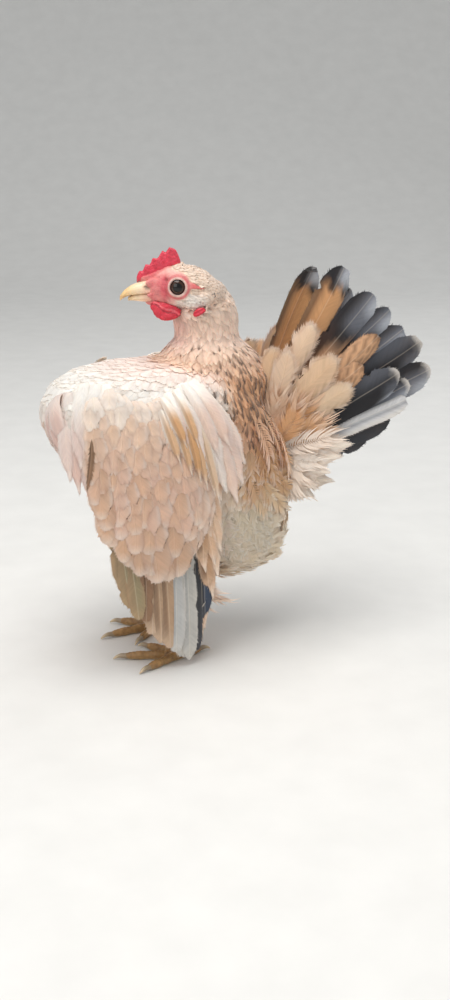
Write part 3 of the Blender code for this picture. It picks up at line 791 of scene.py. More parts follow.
def fringe(wide, far, draw, count, reach):
    """Loose barb ends round a blade's margin: two base places, a middle and a tip of each."""
    rows = len(wide)
    start = rows // 3
    rim = [(wide[j, 0], far[j, 0]) for j in range(start, rows)]
    rim += zip(wide[-1, 1:-1], far[-1, 1:-1])
    rim += [(wide[j, -1], far[j, -1]) for j in range(rows - 1, start - 1, -1)]
    rim = np.array(rim)
    index = np.arange(len(rim))
    ends = []
    for k in range(count):
        place = (k + draw.random()) / count * (len(rim) - 1)
        half = 0.16 * draw.uniform(0.6, 1.2)
        first, second, base = [np.array([np.interp(spot, index, column) for column in rim.T])
                               for spot in (place - half, place + half, place)]
        length = draw.uniform(0.4, 1.15)
        tip = base + np.array([reach[0] * np.clip(base[0] * 1.3, -1, 1), reach[1]]) * length
        inner = np.array([0.94, 0.985])
        ends.append((first * inner, second * inner, base * inner, tip))
    return ends


def sheet_faces(rows, columns, under):
    """Faces of a closed blade: `columns` points over and `under` points below a row."""
    ring = columns + under
    first = np.arange(rows - 1)[:, None] * ring
    k = np.arange(ring)[None, :]
    after = (k + 1) % ring
    quads = np.stack([first + k, first + after, first + ring + after, first + ring + k], axis=-1)
    faces = [tuple(q) for q in quads.reshape(-1, 4)[:, ::-1]]
    faces.append(tuple(range(ring)))
    faces.append(tuple(range((rows - 1) * ring, rows * ring))[::-1])
    return faces


def barb_faces(a):
    """Faces of one loose barb end, whose four points start at a."""
    return [(a, a + 1, a + 3), (a + 1, a + 2, a + 3), (a + 2, a, a + 3), (a, a + 2, a + 1)]


def strand_faces(start, stations):
    """Faces of a closed strand with three points at each of its stations."""
    faces = []
    for k in range(stations - 1):
        for j in range(3):
            a, b = start + 3 * k + j, start + 3 * k + (j + 1) % 3
            faces.append((a, b, b + 3, a + 3))
    last = start + 3 * (stations - 1)
    return faces + [(start + 2, start + 1, start), (last, last + 1, last + 2)]


def rim_of(across, down, web, tip):
    """How near a place on a feather is to its rim, from limits on its web and its length."""
    return np.maximum(eased(web, 1.0, np.abs(across)), eased(tip, 1.0, down))


def darker(tint, share):
    """A colour darkened by its share at each place."""
    return tint * (1 - share)[..., None]


# Outlines of feathers: a share of the length, and the share of the half width there
CONTOUR = ((0.0, 0.3), (0.25, 0.72), (0.55, 0.98), (0.8, 1.0), (0.93, 0.93), (1.0, 0.78))
HACKLE = ((0.0, 0.45), (0.3, 0.9), (0.55, 1.0), (0.8, 0.86), (0.93, 0.62), (1.0, 0.3))
LOOSE = ((0.0, 0.3), (0.3, 0.85), (0.6, 1.0), (0.85, 0.9), (1.0, 0.6))


def pattern_feather(name, group, draw, outline, rows, columns, round_tip, fray, camber, loose,
                    reach):
    """One feather to be repeated: unit length and width, root at the origin, along +Y."""
    wide, far = blade_grid(rows, columns, outline, round_tip, fray, draw)
    blade, rise = [], []
    for j in range(rows):
        for c in range(columns):
            blade.append((wide[j, c], far[j, c], 0.0))
            rise.append(-camber * wide[j, c] ** 2 + 0.05)
        blade.append((0.0, far[j, columns // 2], 0.0))
        rise.append(-camber * 0.5 - 0.18)
    faces = sheet_faces(rows, columns, 1)
    for ends in fringe(wide, far, draw, loose, reach):
        faces += barb_faces(len(blade))
        for k, (across, down) in enumerate(ends):
            blade.append((across, down, 0.0))
            rise.append(-camber * min(abs(across), 1.0) ** 2 + (-0.14 if k == 2 else 0.03))
    pattern_object(name, group, faces, blade, rise)


def pattern_plume(name, group, draw, barbs, spread):
    """One downy feather to be repeated: a shaft with loose, separate barbs."""
    faces, blade, rise = [], [], []

    def spike(path, widths):
        faces.extend(strand_faces(len(blade), len(path)))
        for k, ((x, y, r), w) in enumerate(zip(path, widths)):
            ahead = path[min(k + 1, len(path) - 1)]
            behind = path[max(k - 1, 0)]
            way = Vector((ahead[0] - behind[0], ahead[1] - behind[1]))
            side = Vector((-way.y, way.x)).normalized() * w
            for dx, dy, dr in ((side.x, side.y, 0.0), (-side.x, -side.y, 0.0), (0, 0, 0.16)):
                blade.append(((x + dx) * 2, y + dy, 0.0))
                rise.append(r + dr)

    spike([(0, 0, -0.1), (0, 0.5, 0.0), (0, 0.86, 0.0)], (0.03, 0.025, 0.01))
    for k in range(barbs):
        side = 1 if k % 2 else -1
        base = 0.04 + 0.8 * (k / barbs) ** 1.1
        reach = spread * (0.75 + 0.35 * math.sin(math.pi * min(base + 0.2, 1)))
        reach *= draw.uniform(0.8, 1.1)
        ahead = reach * draw.uniform(0.75, 1.1)
        droop = draw.uniform(-0.5, 0.6)
        path = [(0.0, base, 0.0),
                (side * reach * 0.55, base + ahead * 0.4, 0.15 + droop * 0.4),
                (side * reach, min(base + ahead, 1.12), -0.2 + droop)]
        spike(path, (0.05, 0.055, 0.012))
    pattern_object(name, group, faces, blade, rise)


def face_outwards(mesh):
    """Turns the faces of every closed shape in the mesh outwards."""
    builder = bmesh.new()
    builder.from_mesh(mesh)
    bmesh.ops.recalc_face_normals(builder, faces=builder.faces)
    builder.to_mesh(mesh)
    builder.free()


def pattern_object(name, group, faces, blade, rise):
    """The mesh object of a feather to be repeated, in its collection."""
    mesh = bpy.data.meshes.new(name)
    mesh.from_pydata([(x / 2, y, high) for (x, y, _), high in zip(blade, rise)], [], faces)
    face_outwards(mesh)
    store(mesh, "blade", "FLOAT_VECTOR", np.array(blade, float))
    store(mesh, "rise", "FLOAT", np.array(rise) * MM)
    group.objects.link(bpy.data.objects.new(name, mesh))


# Blades to be repeated: outline, rows, columns, round tip, fray, camber, barb ends and reach
BLADES = {
    "contour": (CONTOUR, 7, 7, 0.36, 0.1, 0.4, 20, (0.22, 0.08)),
    "hackle": (HACKLE, 7, 7, 0.14, 0.1, 0.25, 12, (0.3, 0.1)),
    "small": (LOOSE, 5, 3, 0.2, 0.16, 0.12, 4, (0.3, 0.2)),
    "loose": (LOOSE, 8, 7, 0.32, 0.2, 0.5, 26, (0.3, 0.13)),
}
PLUME_BARBS = 22
PLUME_SPREAD = 0.4
# How large a feather's patch of the bake map is
PATCH_SIZE = 0.003
# Each region's coat: patterns, their spacing, their sway, its material and its slot
COATS = {
    "head": (["small"] * 5, 0.85, 0.12, "vane", "buff"),
    "neck": (["hackle"] * 6, 1.5, 0.22, "vane", "buff"),
    "breast": (["contour"] * 6, 2.5, 0.2, "vane", "cream"),
    "saddle": (["loose", "plume", "loose", "loose", "loose"], 2.6, 0.4, "vane", "buff"),
    "belly": (["plume", "loose", "plume", "loose", "plume"], 3.2, 0.4, "down", "cream"),
}


def pattern_group(region, patterns, draw):
    """A hidden collection of feather patterns for one region."""
    group = bpy.data.collections.new(region)
    for k, pattern in enumerate(patterns):
        name = f"{region}_{k}"
        if pattern == "plume":
            pattern_plume(name, group, draw, PLUME_BARBS, PLUME_SPREAD)
        else:
            pattern_feather(name, group, draw, *BLADES[pattern])
    return group


def layer_tree():
    """Lays feathers over one region of the skin and settles each on its curve."""
    tree = bpy.data.node_groups.new("lay feathers", "GeometryNodeTree")
    tree.is_modifier = True
    for name, kind in (("Geometry", "Geometry"), ("Feathers", "Collection"), ("Region", "Int"),
                       ("Spacing", "Float"), ("Seed", "Int"), ("Ruffle", "Float"),
                       ("Finish", "Material")):
        tree.interface.new_socket(name, in_out="INPUT", socket_type="NodeSocket" + kind)
    tree.interface.new_socket("Geometry", in_out="OUTPUT", socket_type="NodeSocketGeometry")
    w = Wiring(tree)
    given, end = w.add("NodeGroupInput").outputs, w.add("NodeGroupOutput")
    skin, seed, ruffle = given["Geometry"], given["Seed"], given["Ruffle"]

    def named(name, kind="FLOAT"):
        made = w.add("GeometryNodeInputNamedAttribute", {"Name": name}, data_type=kind)
        return made.outputs["Attribute"]

    def kept(geometry, name, kind, value):
        sockets = {"Name": name, "Geometry": geometry, "Value": value}
        return w.result("GeometryNodeStoreNamedAttribute", sockets, data_type=kind,
                        domain="POINT")

    def drawn(kind, number, shift, sockets):
        sockets["Seed"] = w.maths("ADD", seed, shift)
        made = w.add("FunctionNodeRandomValue", sockets, data_type=kind)
        return made.outputs[number]

    # Where each feather is rooted
    same = w.result("FunctionNodeCompare", {2: named("region", "INT"), 3: given["Region"]},
                    data_type="INT", operation="EQUAL")
    scatter = w.result("GeometryNodeDistributePointsOnFaces", {
        "Mesh": skin, "Selection": same, "Distance Min": given["Spacing"],
        "Density Max": DENSEST_COAT, "Seed": seed}, distribute_method="POISSON")
    position = w.result("GeometryNodeInputPosition")
    points = kept(scatter, "root", "FLOAT_VECTOR", position)
    points = kept(points, "chance", "FLOAT", drawn("FLOAT", 1, 0, {}))

    # Which way it lies, and how large it is
    axes = w.result("FunctionNodeAxesToRotation", {
        0: named("facing", "FLOAT_VECTOR"), 1: named("lie", "FLOAT_VECTOR")},
        primary_axis="Z", secondary_axis="Y")
    sway = drawn("FLOAT", 1, 3, {2: w.maths("MULTIPLY", ruffle, -1.0), 3: ruffle})
    turn = w.result("FunctionNodeEulerToRotation",
                    {0: w.result("ShaderNodeCombineXYZ", {"Z": sway})})
    rotated = w.result("FunctionNodeRotateRotation", {0: axes, 1: turn},
                       rotation_space="LOCAL")
    feathers = w.result("GeometryNodeCollectionInfo", {
        "Collection": given["Feathers"], "Separate Children": True, "Reset Children": True})
    grow = w.maths("ADD", w.maths("MULTIPLY", named("chance"), 0.3), 0.85)
    size = w.result("ShaderNodeCombineXYZ", {
        "X": w.maths("MULTIPLY", named("wide"), grow),
        "Y": w.maths("MULTIPLY", named("long"), grow), "Z": MM})
    laid = w.result("GeometryNodeInstanceOnPoints", {
        "Points": points, "Instance": feathers, "Pick Instance": True,
        "Instance Index": drawn("INT", 2, 9, {4: 0, 5: 63}), "Rotation": rotated,
        "Scale": size})
    real = w.result("GeometryNodeRealizeInstances", {0: laid})

    # How each of its points follows the skin
    def on_skin(value):
        sockets = {"Mesh": skin, "Value": value, "Sample Position": position}
        return w.result("GeometryNodeSampleNearestSurface", sockets, data_type="FLOAT_VECTOR")

    outward = kept(real, "outward", "FLOAT_VECTOR", on_skin(named("facing", "FLOAT_VECTOR")))
    down = w.add("ShaderNodeSeparateXYZ", {0: named("blade", "FLOAT_VECTOR")}).outputs["Y"]
    climb = w.maths("POWER", w.maths("MAXIMUM", down, 0.0), 0.8)
    climb = w.maths("MULTIPLY", w.maths("ADD", w.maths("MULTIPLY", climb, 0.85), 0.12),
                    named("lift"))
    uneven = w.maths("ADD", w.maths("MULTIPLY", named("chance"), 0.2), 0.9)
    height = w.maths("ADD", w.maths("MULTIPLY", climb, uneven), named("rise"))
    raised = w.result("ShaderNodeVectorMath", {
        0: named("outward", "FLOAT_VECTOR"), "Scale": height}, operation="SCALE")
    spot = w.result("ShaderNodeVectorMath", {0: on_skin(position), 1: raised}, operation="ADD")
    settled = w.result("GeometryNodeSetPosition", {"Geometry": outward, "Position": spot})
    finished = w.result("GeometryNodeSetMaterial", {
        "Geometry": settled, "Material": given["Finish"]})
    w.feed(end, {0: finished})
    return tree


def feather_tint(region, root, blade, chance):
    """The colour of each feather point, from its root and its place on the feather."""
    across, down = np.abs(blade[:, 0]), blade[:, 1]
    shade = (chance * 7.31) % 1.0
    tint = plumage_at(root) * (0.9 + 0.15 * shade)[:, None]
    # Painted shade: each feather is darker towards its root, where the feather above lies over it.
    tint = darker(tint, 0.12 * eased(0.55, 0.1, down))
    rim = rim_of(across, down, 0.55, 0.84)
    if region in ("breast", "saddle", "belly"):
        low = eased(130, 116, root[:, 2])
        # On the lower breast the painted shade at the root is deeper, under the feather's own
        # paler rim.
        tint = darker(tint, 0.26 * low * eased(0.8, 0.35, down))
        tint = mixed(tint, WHITE, rim * (0.3 + 0.25 * low))
    if region in ("head", "neck"):
        near, spread, root_shade = (0.99, 0.06, 0.05) if region == "head" else (0.94, 0.2, 0.22)
        # A random tone for each feather, with painted shade towards its root.
        tone_and_root_shade = (near + spread * shade) * (1 - root_shade * eased(0.8, 0.3, down))
        tint = tint * tone_and_root_shade[:, None]
    if region == "neck":
        y, z = root[:, 1:].T
        dark = eased(163, 150, z) * eased(14, 34, y) * 0.42
        dark = dark + eased(150, 140, z) * eased(26, 44, y) * 0.3
        marked = ((chance * 13.7) % 1.0) < dark * eased(112, 124, z)
        streak = eased(0.4, 0.1, across) * eased(0.5, 0.8, down)
        tint = coated(tint, (np.minimum(tint * 1.3, WHITE), rim * 0.6),
                      (UMBER, streak * marked * 0.95))
    return tint


def coat_place(root):
    """A place on an unwrap of the body: round it and down it, as shares of a map."""
    x, y, z = unplaced(root).T
    turn = np.arctan2(x, y - 22.0) / (2 * math.pi) + 0.5
    return np.stack([0.02 + 0.96 * turn, 0.02 + 0.96 * z / 200.0], axis=1)


def write_bake_map(mesh, places):
    """The map OFBake, from each point's place on it."""
    layer = mesh.uv_layers.new(name="OFBake")
    layer.data.foreach_set("uv", places[corners_of(mesh)].astype(np.float32).ravel())


def lay_coat(body, tree):
    """Every region's feathers, each as one plain mesh."""
    draw = random.Random(SEED)
    groups = {region: pattern_group(region, coat[0], draw) for region, coat in COATS.items()}
    inputs = {item.name: item.identifier for item in tree.interface.items_tree
              if item.in_out == "INPUT"}
    for region, word in [(region, word) for region in COATS for word in ("left", "right")]:
        spacing, ruffle, finish, slot = COATS[region][1:]
        code = REGIONS[region] + (RIGHT_SIDE if word == "right" else 0)
        layer = placed_object("layer", body.data.copy())
        laid = layer.modifiers.new("laid", "NODES")
        laid.node_group = tree
        for name, value in (("Feathers", groups[region]), ("Region", code),
                            ("Spacing", spacing * MM), ("Seed", SEED + code),
                            ("Ruffle", ruffle), ("Finish", MATERIALS[finish])):
            laid[inputs[name]] = value
        mesh = evaluated(layer)
        root, blade, lie, outward = [fetch(mesh, name, 3)
                                     for name in ("root", "blade", "lie", "outward")]
        chance, long, wide = [fetch(mesh, name) for name in ("chance", "long", "wide")]
        side = np.cross(lie, outward)
        outward = outward + side * blade[:, :1] * 0.3 + lie * (0.22 * blade[:, 1:2] ** 2)
        for name in ("lie", "facing", "long", "wide", "lift", "root", "rise", "region",
                     "chance", "tint", "outward"):
            if name in mesh.attributes:
                mesh.attributes.remove(mesh.attributes[name])
        tint = feather_tint(region, unplaced(root), blade, chance)
        store(mesh, "tint", "FLOAT_COLOR", tint)
        real = np.stack([blade[:, 0] * wide / 2 / MM, blade[:, 1] * long / MM, chance], axis=1)
        store(mesh, "blade", "FLOAT_VECTOR", real)
        patch = np.stack([blade[:, 0] * 0.5, blade[:, 1] - 0.5], axis=1) * PATCH_SIZE
        write_bake_map(mesh, coat_place(root) + patch)
        soften(mesh, outward)
        piece_from(f"{region}_feathers_{word}", mesh, finish)
    for group in groups.values():
        for made in list(group.objects):
            bpy.data.objects.remove(made)
        bpy.data.collections.remove(group)


# How much of each face's own slope its shading keeps
FLAT_SHARE = 0.25


def soften(mesh, outward):
    """Shades the blades by the way out of the coat, so that it reads as one soft surface."""
    sides = read(mesh.polygons, "loop_total", 1, np.int32)
    flat = np.repeat(read(mesh.polygons, "normal", 3), sides, axis=0)
    wanted = outward / np.maximum(np.linalg.norm(outward, axis=1, keepdims=True), 1e-6)
    wanted = wanted[corners_of(mesh)]
    hidden = np.sum(wanted * flat, axis=1) < 0.15
    wanted = wanted * (1 - FLAT_SHARE) + flat * FLAT_SHARE
    wanted[hidden] = flat[hidden]
    wanted /= np.maximum(np.linalg.norm(wanted, axis=1, keepdims=True), 1e-6)
    mesh.shade_smooth()
    mesh.normals_split_custom_set(wanted.tolist())


class Sheaf:
    """Long feathers gathered into one mesh, each with its own strip of the bake map."""

    def __init__(self):
        self.points, self.tints, self.blades, self.outward = [], [], [], []
        self.faces, self.patches = [], []
        self.count = 0
        self.total = 0

    def gather(self, strip, points, tints, blades, outward, across, down):
        """Adds points with their colours, places, ways out and places on a strip."""
        for rows, added in ((self.points, points), (self.tints, tints),
                            (self.blades, blades), (self.outward, outward)):
            rows.append(added.reshape(-1, 3))
        self.patches.append((strip, np.stack([across, down], axis=1)))
        self.count = strip + 1
        self.total += len(across)

    def add(self, over, under, tint, blade, outward):
        """Adds a blade from rows of points over and under it, and their colours."""
        rows, columns = over.shape[:2]
        ring = 2 * columns - 2
        self.faces += [tuple(self.total + k for k in face)
                       for face in sheet_faces(rows, columns, columns - 2)]
        closed = [np.concatenate([above, below[:, ::-1]], axis=1) for above, below in (
            (over, under), (tint, tint[:, 1:-1]), (blade, blade[:, 1:-1]),
            (outward, outward[:, 1:-1]))]
        self.gather(self.count, *closed, np.tile(np.linspace(0, 1, ring), rows),
                    np.repeat(np.linspace(0, 1, rows), ring))

    def add_ends(self, points, tints, blades, outward):
        """Adds loose barb ends, four points each, to the blade added last."""
        for first in range(0, len(points), 4):
            self.faces += barb_faces(self.total + first)
        self.gather(self.count - 1, points, tints, blades, outward,
                    np.linspace(0, 1, len(points)), np.full(len(points), 1.0))

    def add_strands(self, paths, side, outward, widths, tints, blades):
        """Adds loose barbs along paths: rows of stations, thin and closed."""
        count, stations = paths.shape[:2]
        thin = np.asarray(widths)[None, :, None]
        ring = np.stack([paths + side * thin, paths - side * thin, paths - outward * thin * 0.8],
                        axis=2)
        for strand in range(count):
            self.faces += strand_faces(self.total + strand * stations * 3, stations)
        thrice = [np.repeat(rows.reshape(-1, 3), 3, axis=0) for rows in (tints, blades, outward)]
        self.gather(self.count, ring, *thrice,
                    np.repeat(np.linspace(0, 1, count), stations * 3),
                    np.tile(np.repeat(np.linspace(0, 1, stations), 3), count))

    def piece(self, name, material, slot, side=1, nodes=()):
        """The gathered feathers as a finished piece, mirrored where side is -1."""
        mesh = bpy.data.meshes.new(name)
        turn = np.array([side, 1.0, 1.0])
        points = np.concatenate(self.points) * turn
        outward = np.concatenate(self.outward) * turn
        mesh.from_pydata(placed(points).tolist(), [], self.faces)
        store(mesh, "tint", "FLOAT_COLOR", np.concatenate(self.tints))
        store(mesh, "blade", "FLOAT_VECTOR", np.concatenate(self.blades))
        columns = math.ceil(math.sqrt(self.count))
        cell = 1.0 / columns
        where = []
        for number, shares in self.patches:
            corner = np.array([number % columns, number // columns]) * cell
            where.append(corner + cell * (0.06 + 0.88 * shares))
        write_bake_map(mesh, np.concatenate(where))
        face_outwards(mesh)
        soften(mesh, outward)
        piece_from(name, mesh, material, nodes)


LONG_ROUND = ((0.0, 0.3), (0.3, 0.8), (0.6, 0.98), (0.85, 1.0), (0.96, 0.92), (1.0, 0.78))
SHORT_ROUND = ((0.0, 0.45), (0.35, 0.88), (0.65, 1.0), (0.88, 0.98), (1.0, 0.8))
POINTED_LOOSE = ((0.0, 0.5), (0.4, 0.95), (0.7, 1.0), (0.88, 0.72), (1.0, 0.25))
TAIL_ROUND = ((0.0, 0.35), (0.3, 0.78), (0.6, 0.95), (0.85, 1.02), (0.95, 1.0), (1.0, 0.9))
POINTED = ((0.0, 0.5), (0.3, 0.95), (0.55, 1.0), (0.8, 0.7), (1.0, 0.12))


def blade_places(shares, half_width, length, chance):
    """Places on a feather in millimetres, from shares across and along it, and its chance."""
    return np.stack([shares[..., 0] * half_width, shares[..., 1] * length,
                     np.full(shares.shape[:-1], chance)], axis=-1)


VANE_THICKNESS = 0.2


def add_feather(sheaf, spot, length, half_width, outline, colour, draw, rows, round_tip,
                loose, reach, columns=9, fray=0.03, camber=0.5, shaft=0.3, splits=0):
    """One long feather; spot(down) gives the place, the side and the way out."""
    wide, far = blade_grid(rows, columns, outline, round_tip, fray, draw)
    for _ in range(splits):
        j = draw.randrange(rows // 3, rows - 2)
        c = draw.choice((0, columns - 1))
        wide[j, c] *= 0.68
        far[j, c] -= 0.4 / rows
    chance = draw.random()
    over = np.empty((rows, columns, 3))
    outward = np.empty((rows, columns, 3))
    under = np.empty((rows, columns - 2, 3))
    for j in range(rows):
        for c in range(columns):
            point, side, normal = spot(far[j, c])
            share = wide[j, c]
            rise = -camber * share * share
            middle = shaft if c == columns // 2 else 0.0
            rise += middle * (1 - 0.8 * far[j, c])
            place = point + side * (share * half_width) + normal * rise
            over[j, c] = place
            outward[j, c] = normal + side * (0.3 * share)
            if 0 < c < columns - 1:
                under[j, c - 1] = place - normal * (VANE_THICKNESS + middle)
    blade = blade_places(np.stack([wide, far], axis=-1), half_width, length, chance)
    sheaf.add(over, under, colour(wide, far, chance), blade, outward)
    points, shares, ways = [], [], []
    for ends in fringe(wide, far, draw, loose, (reach / half_width, reach * 1.1 / length)):
        for k, (share, down) in enumerate(ends):
            point, side, normal = spot(down)
            rise = -camber * min(share * share, 1.2) - (VANE_THICKNESS * 0.8 if k == 2 else 0.0)
            points.append(point + side * (share * half_width) + normal * rise)
            shares.append((share, down))
            ways.append(normal + side * (0.3 * share))
    shares = np.array(shares)
    sheaf.add_ends(np.array(points), colour(*shares.T, chance),
                   blade_places(shares, half_width, length, chance), np.array(ways))


# Along a plume's barb
PLUME_STATIONS = 5
BARB_WIDTHS = 0.46 * np.array([0.5, 0.9, 1.0, 0.8, 0.12])


def add_plume(sheaf, spot, length, half_width, colour, draw, barbs=46):
    """One loose feather: a fine shaft with long separate barbs that open to its tip."""
    paths, sides, ways, shares = [], [], [], []
    for k in range(barbs):
        hand = 1 if k % 2 else -1
        base = 0.03 + 0.9 * (k / barbs) ** 0.9
        reach = math.sin(math.pi * min(0.18 + base * 0.72, 1.0)) * draw.uniform(0.75, 1.15)
        ahead = (0.16 + 0.16 * base) * draw.uniform(0.8, 1.3)
        droop = draw.uniform(-0.8, 0.5)
        for part in np.linspace(0, 1, PLUME_STATIONS):
            share = hand * reach * part ** 0.8
            down = base + ahead * part ** 1.6
            point, side, normal = spot(down)
            paths.append(point + side * (share * half_width)
                         + normal * (0.5 * math.sin(math.pi * part) + droop * part * part))
            sides.append(normal.cross(side) * 0.75 + side * (-hand * 0.6))
            ways.append(normal)
            shares.append((share, down))
    shares = np.array(shares)
    chance = draw.random()
    tint = colour(*shares.T, chance)
    blades = blade_places(shares, half_width, length, chance)
    paths, sides, ways, tint, blades = [np.array(rows).reshape(barbs, PLUME_STATIONS, 3)
                                        for rows in (paths, sides, ways, tint, blades)]
    sheaf.add_strands(paths, sides, ways, BARB_WIDTHS, tint, blades)


# The left wing's long feathers from front to rear: painting, root, tip, half-width and height
FLIGHTS = (
    ("olive", (-30, 92), (-24.5, 46), 4.6, 0.6), ("olive", (-28, 92), (-21.0, 36), 4.4, 0.9),
    ("olive", (-26, 90), (-17.0, 29), 4.0, 1.2), ("umber", (-22, 88), (-17.5, 33), 3.2, 0.9),
    ("umber", (-18, 88), (-13.5, 27), 3.4, 0.4), ("rose", (-16, 90), (-9.5, 20), 4.4, -0.4),
    ("rose", (-12, 92), (-5.0, 14.5), 4.6, 0.0), ("rose", (-9, 92), (-0.5, 11), 4.4, 0.3),
    ("silver", (-5, 94), (3.0, 7.5), 4.4, 0.7), ("silver", (-2, 94), (6.5, 4.5), 4.6, 1.0),
    ("silver", (1, 94), (9.5, 3.2), 4.2, 1.2), ("ink", (3, 96), (11.5, 4.0), 3.4, 0.1),
    ("ink", (5, 98), (13.5, 6.5), 3.4, -0.2), ("buff", (6, 98), (16.0, 10.5), 3.6, -0.8),
    ("buff", (7, 100), (18.0, 17.0), 3.8, -1.0), ("ink", (8, 100), (15.0, 24.5), 4.0, -0.1),
    ("blue", (9, 102), (17.0, 27.5), 4.4, 0.2), ("buff", (8, 96), (20.5, 34.0), 3.2, 0.9),
    ("brown", (7, 92), (17.0, 42.0), 3.4, 1.4), ("buff", (8, 98), (21.8, 46.0), 3.2, 1.6),
    ("buff", (6, 96), (14.5, 50.0), 3.6, 2.0), ("buff", (8, 104), (19.0, 54.0), 3.4, 2.2),
    ("brown", (6, 104), (13.0, 58.0), 3.6, 2.5), ("buff", (8, 108), (22.0, 60.0), 3.4, 2.4),
    ("buff", (6, 108), (16.5, 65.0), 3.6, 2.8), ("buff", (8, 113), (21.5, 71.0), 3.4, 2.9),
    ("buff", (5, 114), (14.5, 74.0), 3.6, 3.2), ("buff", (7, 118), (19.5, 79.0), 3.4, 3.3),
    ("buff", (6, 122), (21.0, 86.0), 3.4, 3.5), ("buff", (4, 122), (16.0, 88.0), 3.6, 3.6),
)
# Its coverts, row by row up to the shoulder: number, tip curve, length, half-width, height
COVERT_ROWS = (
    (7, ((-31, 70), (-26, 62), (-20, 57), (-15, 55)), 30, 5.0, 2.1),
    (5, ((-12, 53), (-5, 49.5), (2, 52.5)), 38, 9.5, 2.4),
    (5, ((6, 60), (10, 66), (14, 76)), 26, 5.4, 2.2),
    (8, ((-33, 78), (-22, 68), (-12, 64), (0, 64), (9, 72)), 27, 6.4, 3.0),
    (10, ((-35, 85), (-24, 76), (-12, 72), (2, 72), (13, 82)), 24, 5.8, 3.3),
    (11, ((-36.5, 91), (-25, 83), (-12, 79), (2, 79), (14, 89)), 21, 5.2, 3.5),
    (12, ((-37.5, 97), (-26, 90), (-13, 86), (2, 86), (14, 95)), 19, 4.8, 3.6),
    (12, ((-38, 103), (-27, 96), (-14, 92), (1, 92), (13, 101)), 17, 4.6, 3.7),
    (12, ((-37.5, 109), (-27, 102), (-14, 98), (0, 98), (12, 107)), 16, 4.4, 3.8),
    (12, ((-37, 114), (-27, 108), (-14, 104), (-1, 104), (10, 112)), 15, 4.2, 3.8),
    (11, ((-36, 119), (-26, 114), (-14, 110), (-2, 110), (8, 117)), 14, 4.2, 3.7),
    (10, ((-33, 124), (-24, 120), (-14, 116), (-4, 116), (5, 121)), 13, 4.2, 3.5),
    (9, ((-30, 128), (-22, 125), (-13, 122), (-5, 122), (2, 125)), 12, 4.2, 3.0),
)
# The scapulars behind the shoulder: painting, root, tip and half-width
SCAPULARS = (
    # The first is a narrow dark feather under the curtain's edge: a painted shadow for the shade
    # between curtain and wing.
    ("shadow_strip", (-36.0, 126), (-39.5, 97), 1.0), ("veil", (9, 139), (27, 84), 4.6),
    ("veil", (12, 138), (30, 93), 4.8), ("veil", (13, 136), (31, 103), 4.6),
    ("veil", (6, 139), (23, 90), 4.4),
    ("veil", (9, 140), (27, 106), 4.6), ("veil", (3, 139), (20, 99), 4.2),
    ("golden", (-8, 133), (-1, 106), 2.6), ("veil", (-3, 136), (6, 110), 3.4),
    ("golden", (-4, 134), (5, 101), 2.4), ("golden", (-1, 135), (8.5, 97), 2.8),
    ("veil", (1, 137), (12, 104), 3.2), ("golden", (2, 136), (12.5, 93), 2.3),
    ("golden", (4, 137), (16, 90), 2.7), ("veil", (5, 139), (16.5, 108), 3.6),
    ("golden", (6, 136), (19, 87), 2.4), ("golden", (-6, 134), (2, 113), 2.6),
    ("golden", (0, 136), (8, 112), 2.4), ("veil", (7, 139), (22, 113), 3.8),
)


def wing_colour(painting, place, draw):
    """The painting of one wing feather, by its kind and its place on the wing."""
    warmth = draw.uniform(-0.5, 0.5)
    base, rim_colour, rim_share, dark, dark_share = {
        "olive": (paint(154, 138, 106), BUFF, 0.25, mixed(SAND, UMBER, 0.3), 0.4),
        "umber": (mixed(SAND, UMBER, 0.45), SAND, 0.2, UMBER, 0.8),
        "rose": (mixed(paint(190, 164, 136), SAND, 0.4 + 0.5 * warmth), CREAM, 0.35, UMBER,
                 0.3 + 0.5 * warmth),
        "silver": (mixed(paint(196, 190, 178), SILVER, 0.3 + 0.4 * warmth), WHITE, 0.3, SLATE,
                   0.3),
        "ink": (mixed(INK, SLATE, 0.12), SLATE, 0.25, INK, 0.8),
        "blue": (mixed(INK, paint(70, 88, 116), 0.55), INK, 0.3, INK, 0.6),
        "buff": (mixed(BUFF, CREAM, 0.45 + 0.4 * warmth), WHITE, 0.55, SAND, 0.4),
        "brown": (mixed(SAND, BUFF, 0.3), CREAM, 0.3, UMBER, 0.6),
        "covert": (mixed(BLUSH, BUFF, 0.35 + 0.4 * warmth), WHITE, 0.42, SAND, 0.0),
        "golden": (mixed(CREAM, GOLD, 0.6 + 0.6 * warmth), WHITE, 0.75, mixed(SAND, UMBER, 0.5),
                   0.45),
        # Painted shadow: a dark strip standing for the shade between the curtain and the wing's
        # front.
        "shadow_strip": (mixed(UMBER, SAND, 0.5), SAND, 0.1, UMBER, 0.5),
        "veil": (mixed(WHITE, BLUSH, 0.6 + 0.5 * warmth), WHITE, 0.5, SAND, 0.2),
    }[painting]
    if painting == "covert":
        y, z = place
        base = coated(base, (CREAM, eased(92, 122, z) * 0.45), (SAND, eased(-22, -34, y) * 0.2),
                      (CREAM, eased(2, 12, y) * 0.4),
                      (WHITE, eased(116, 127, z) * (0.7 + 0.6 * warmth)),
                      # Painted shade: the lowest coverts are darker.
                      (SAND, eased(72, 56, z) * 0.5))

    def colour(across, down, chance):
        if painting in ("golden", "veil"):
            tint = mixed(base, WHITE, eased(0.5, 0.1, down) * 0.9)
        else:
            # Painted shade: darker towards the root, where the feather above lies over it.
            tint = darker(base, 0.2 * eased(0.75, 0.3, down))
        inner = eased(-0.05, 0.3, across) * eased(0.99, 0.85, down)
        return coated(tint, (dark, inner * dark_share),
                      (rim_colour, rim_of(across, down, 0.55, 0.82) * rim_share))

    return colour


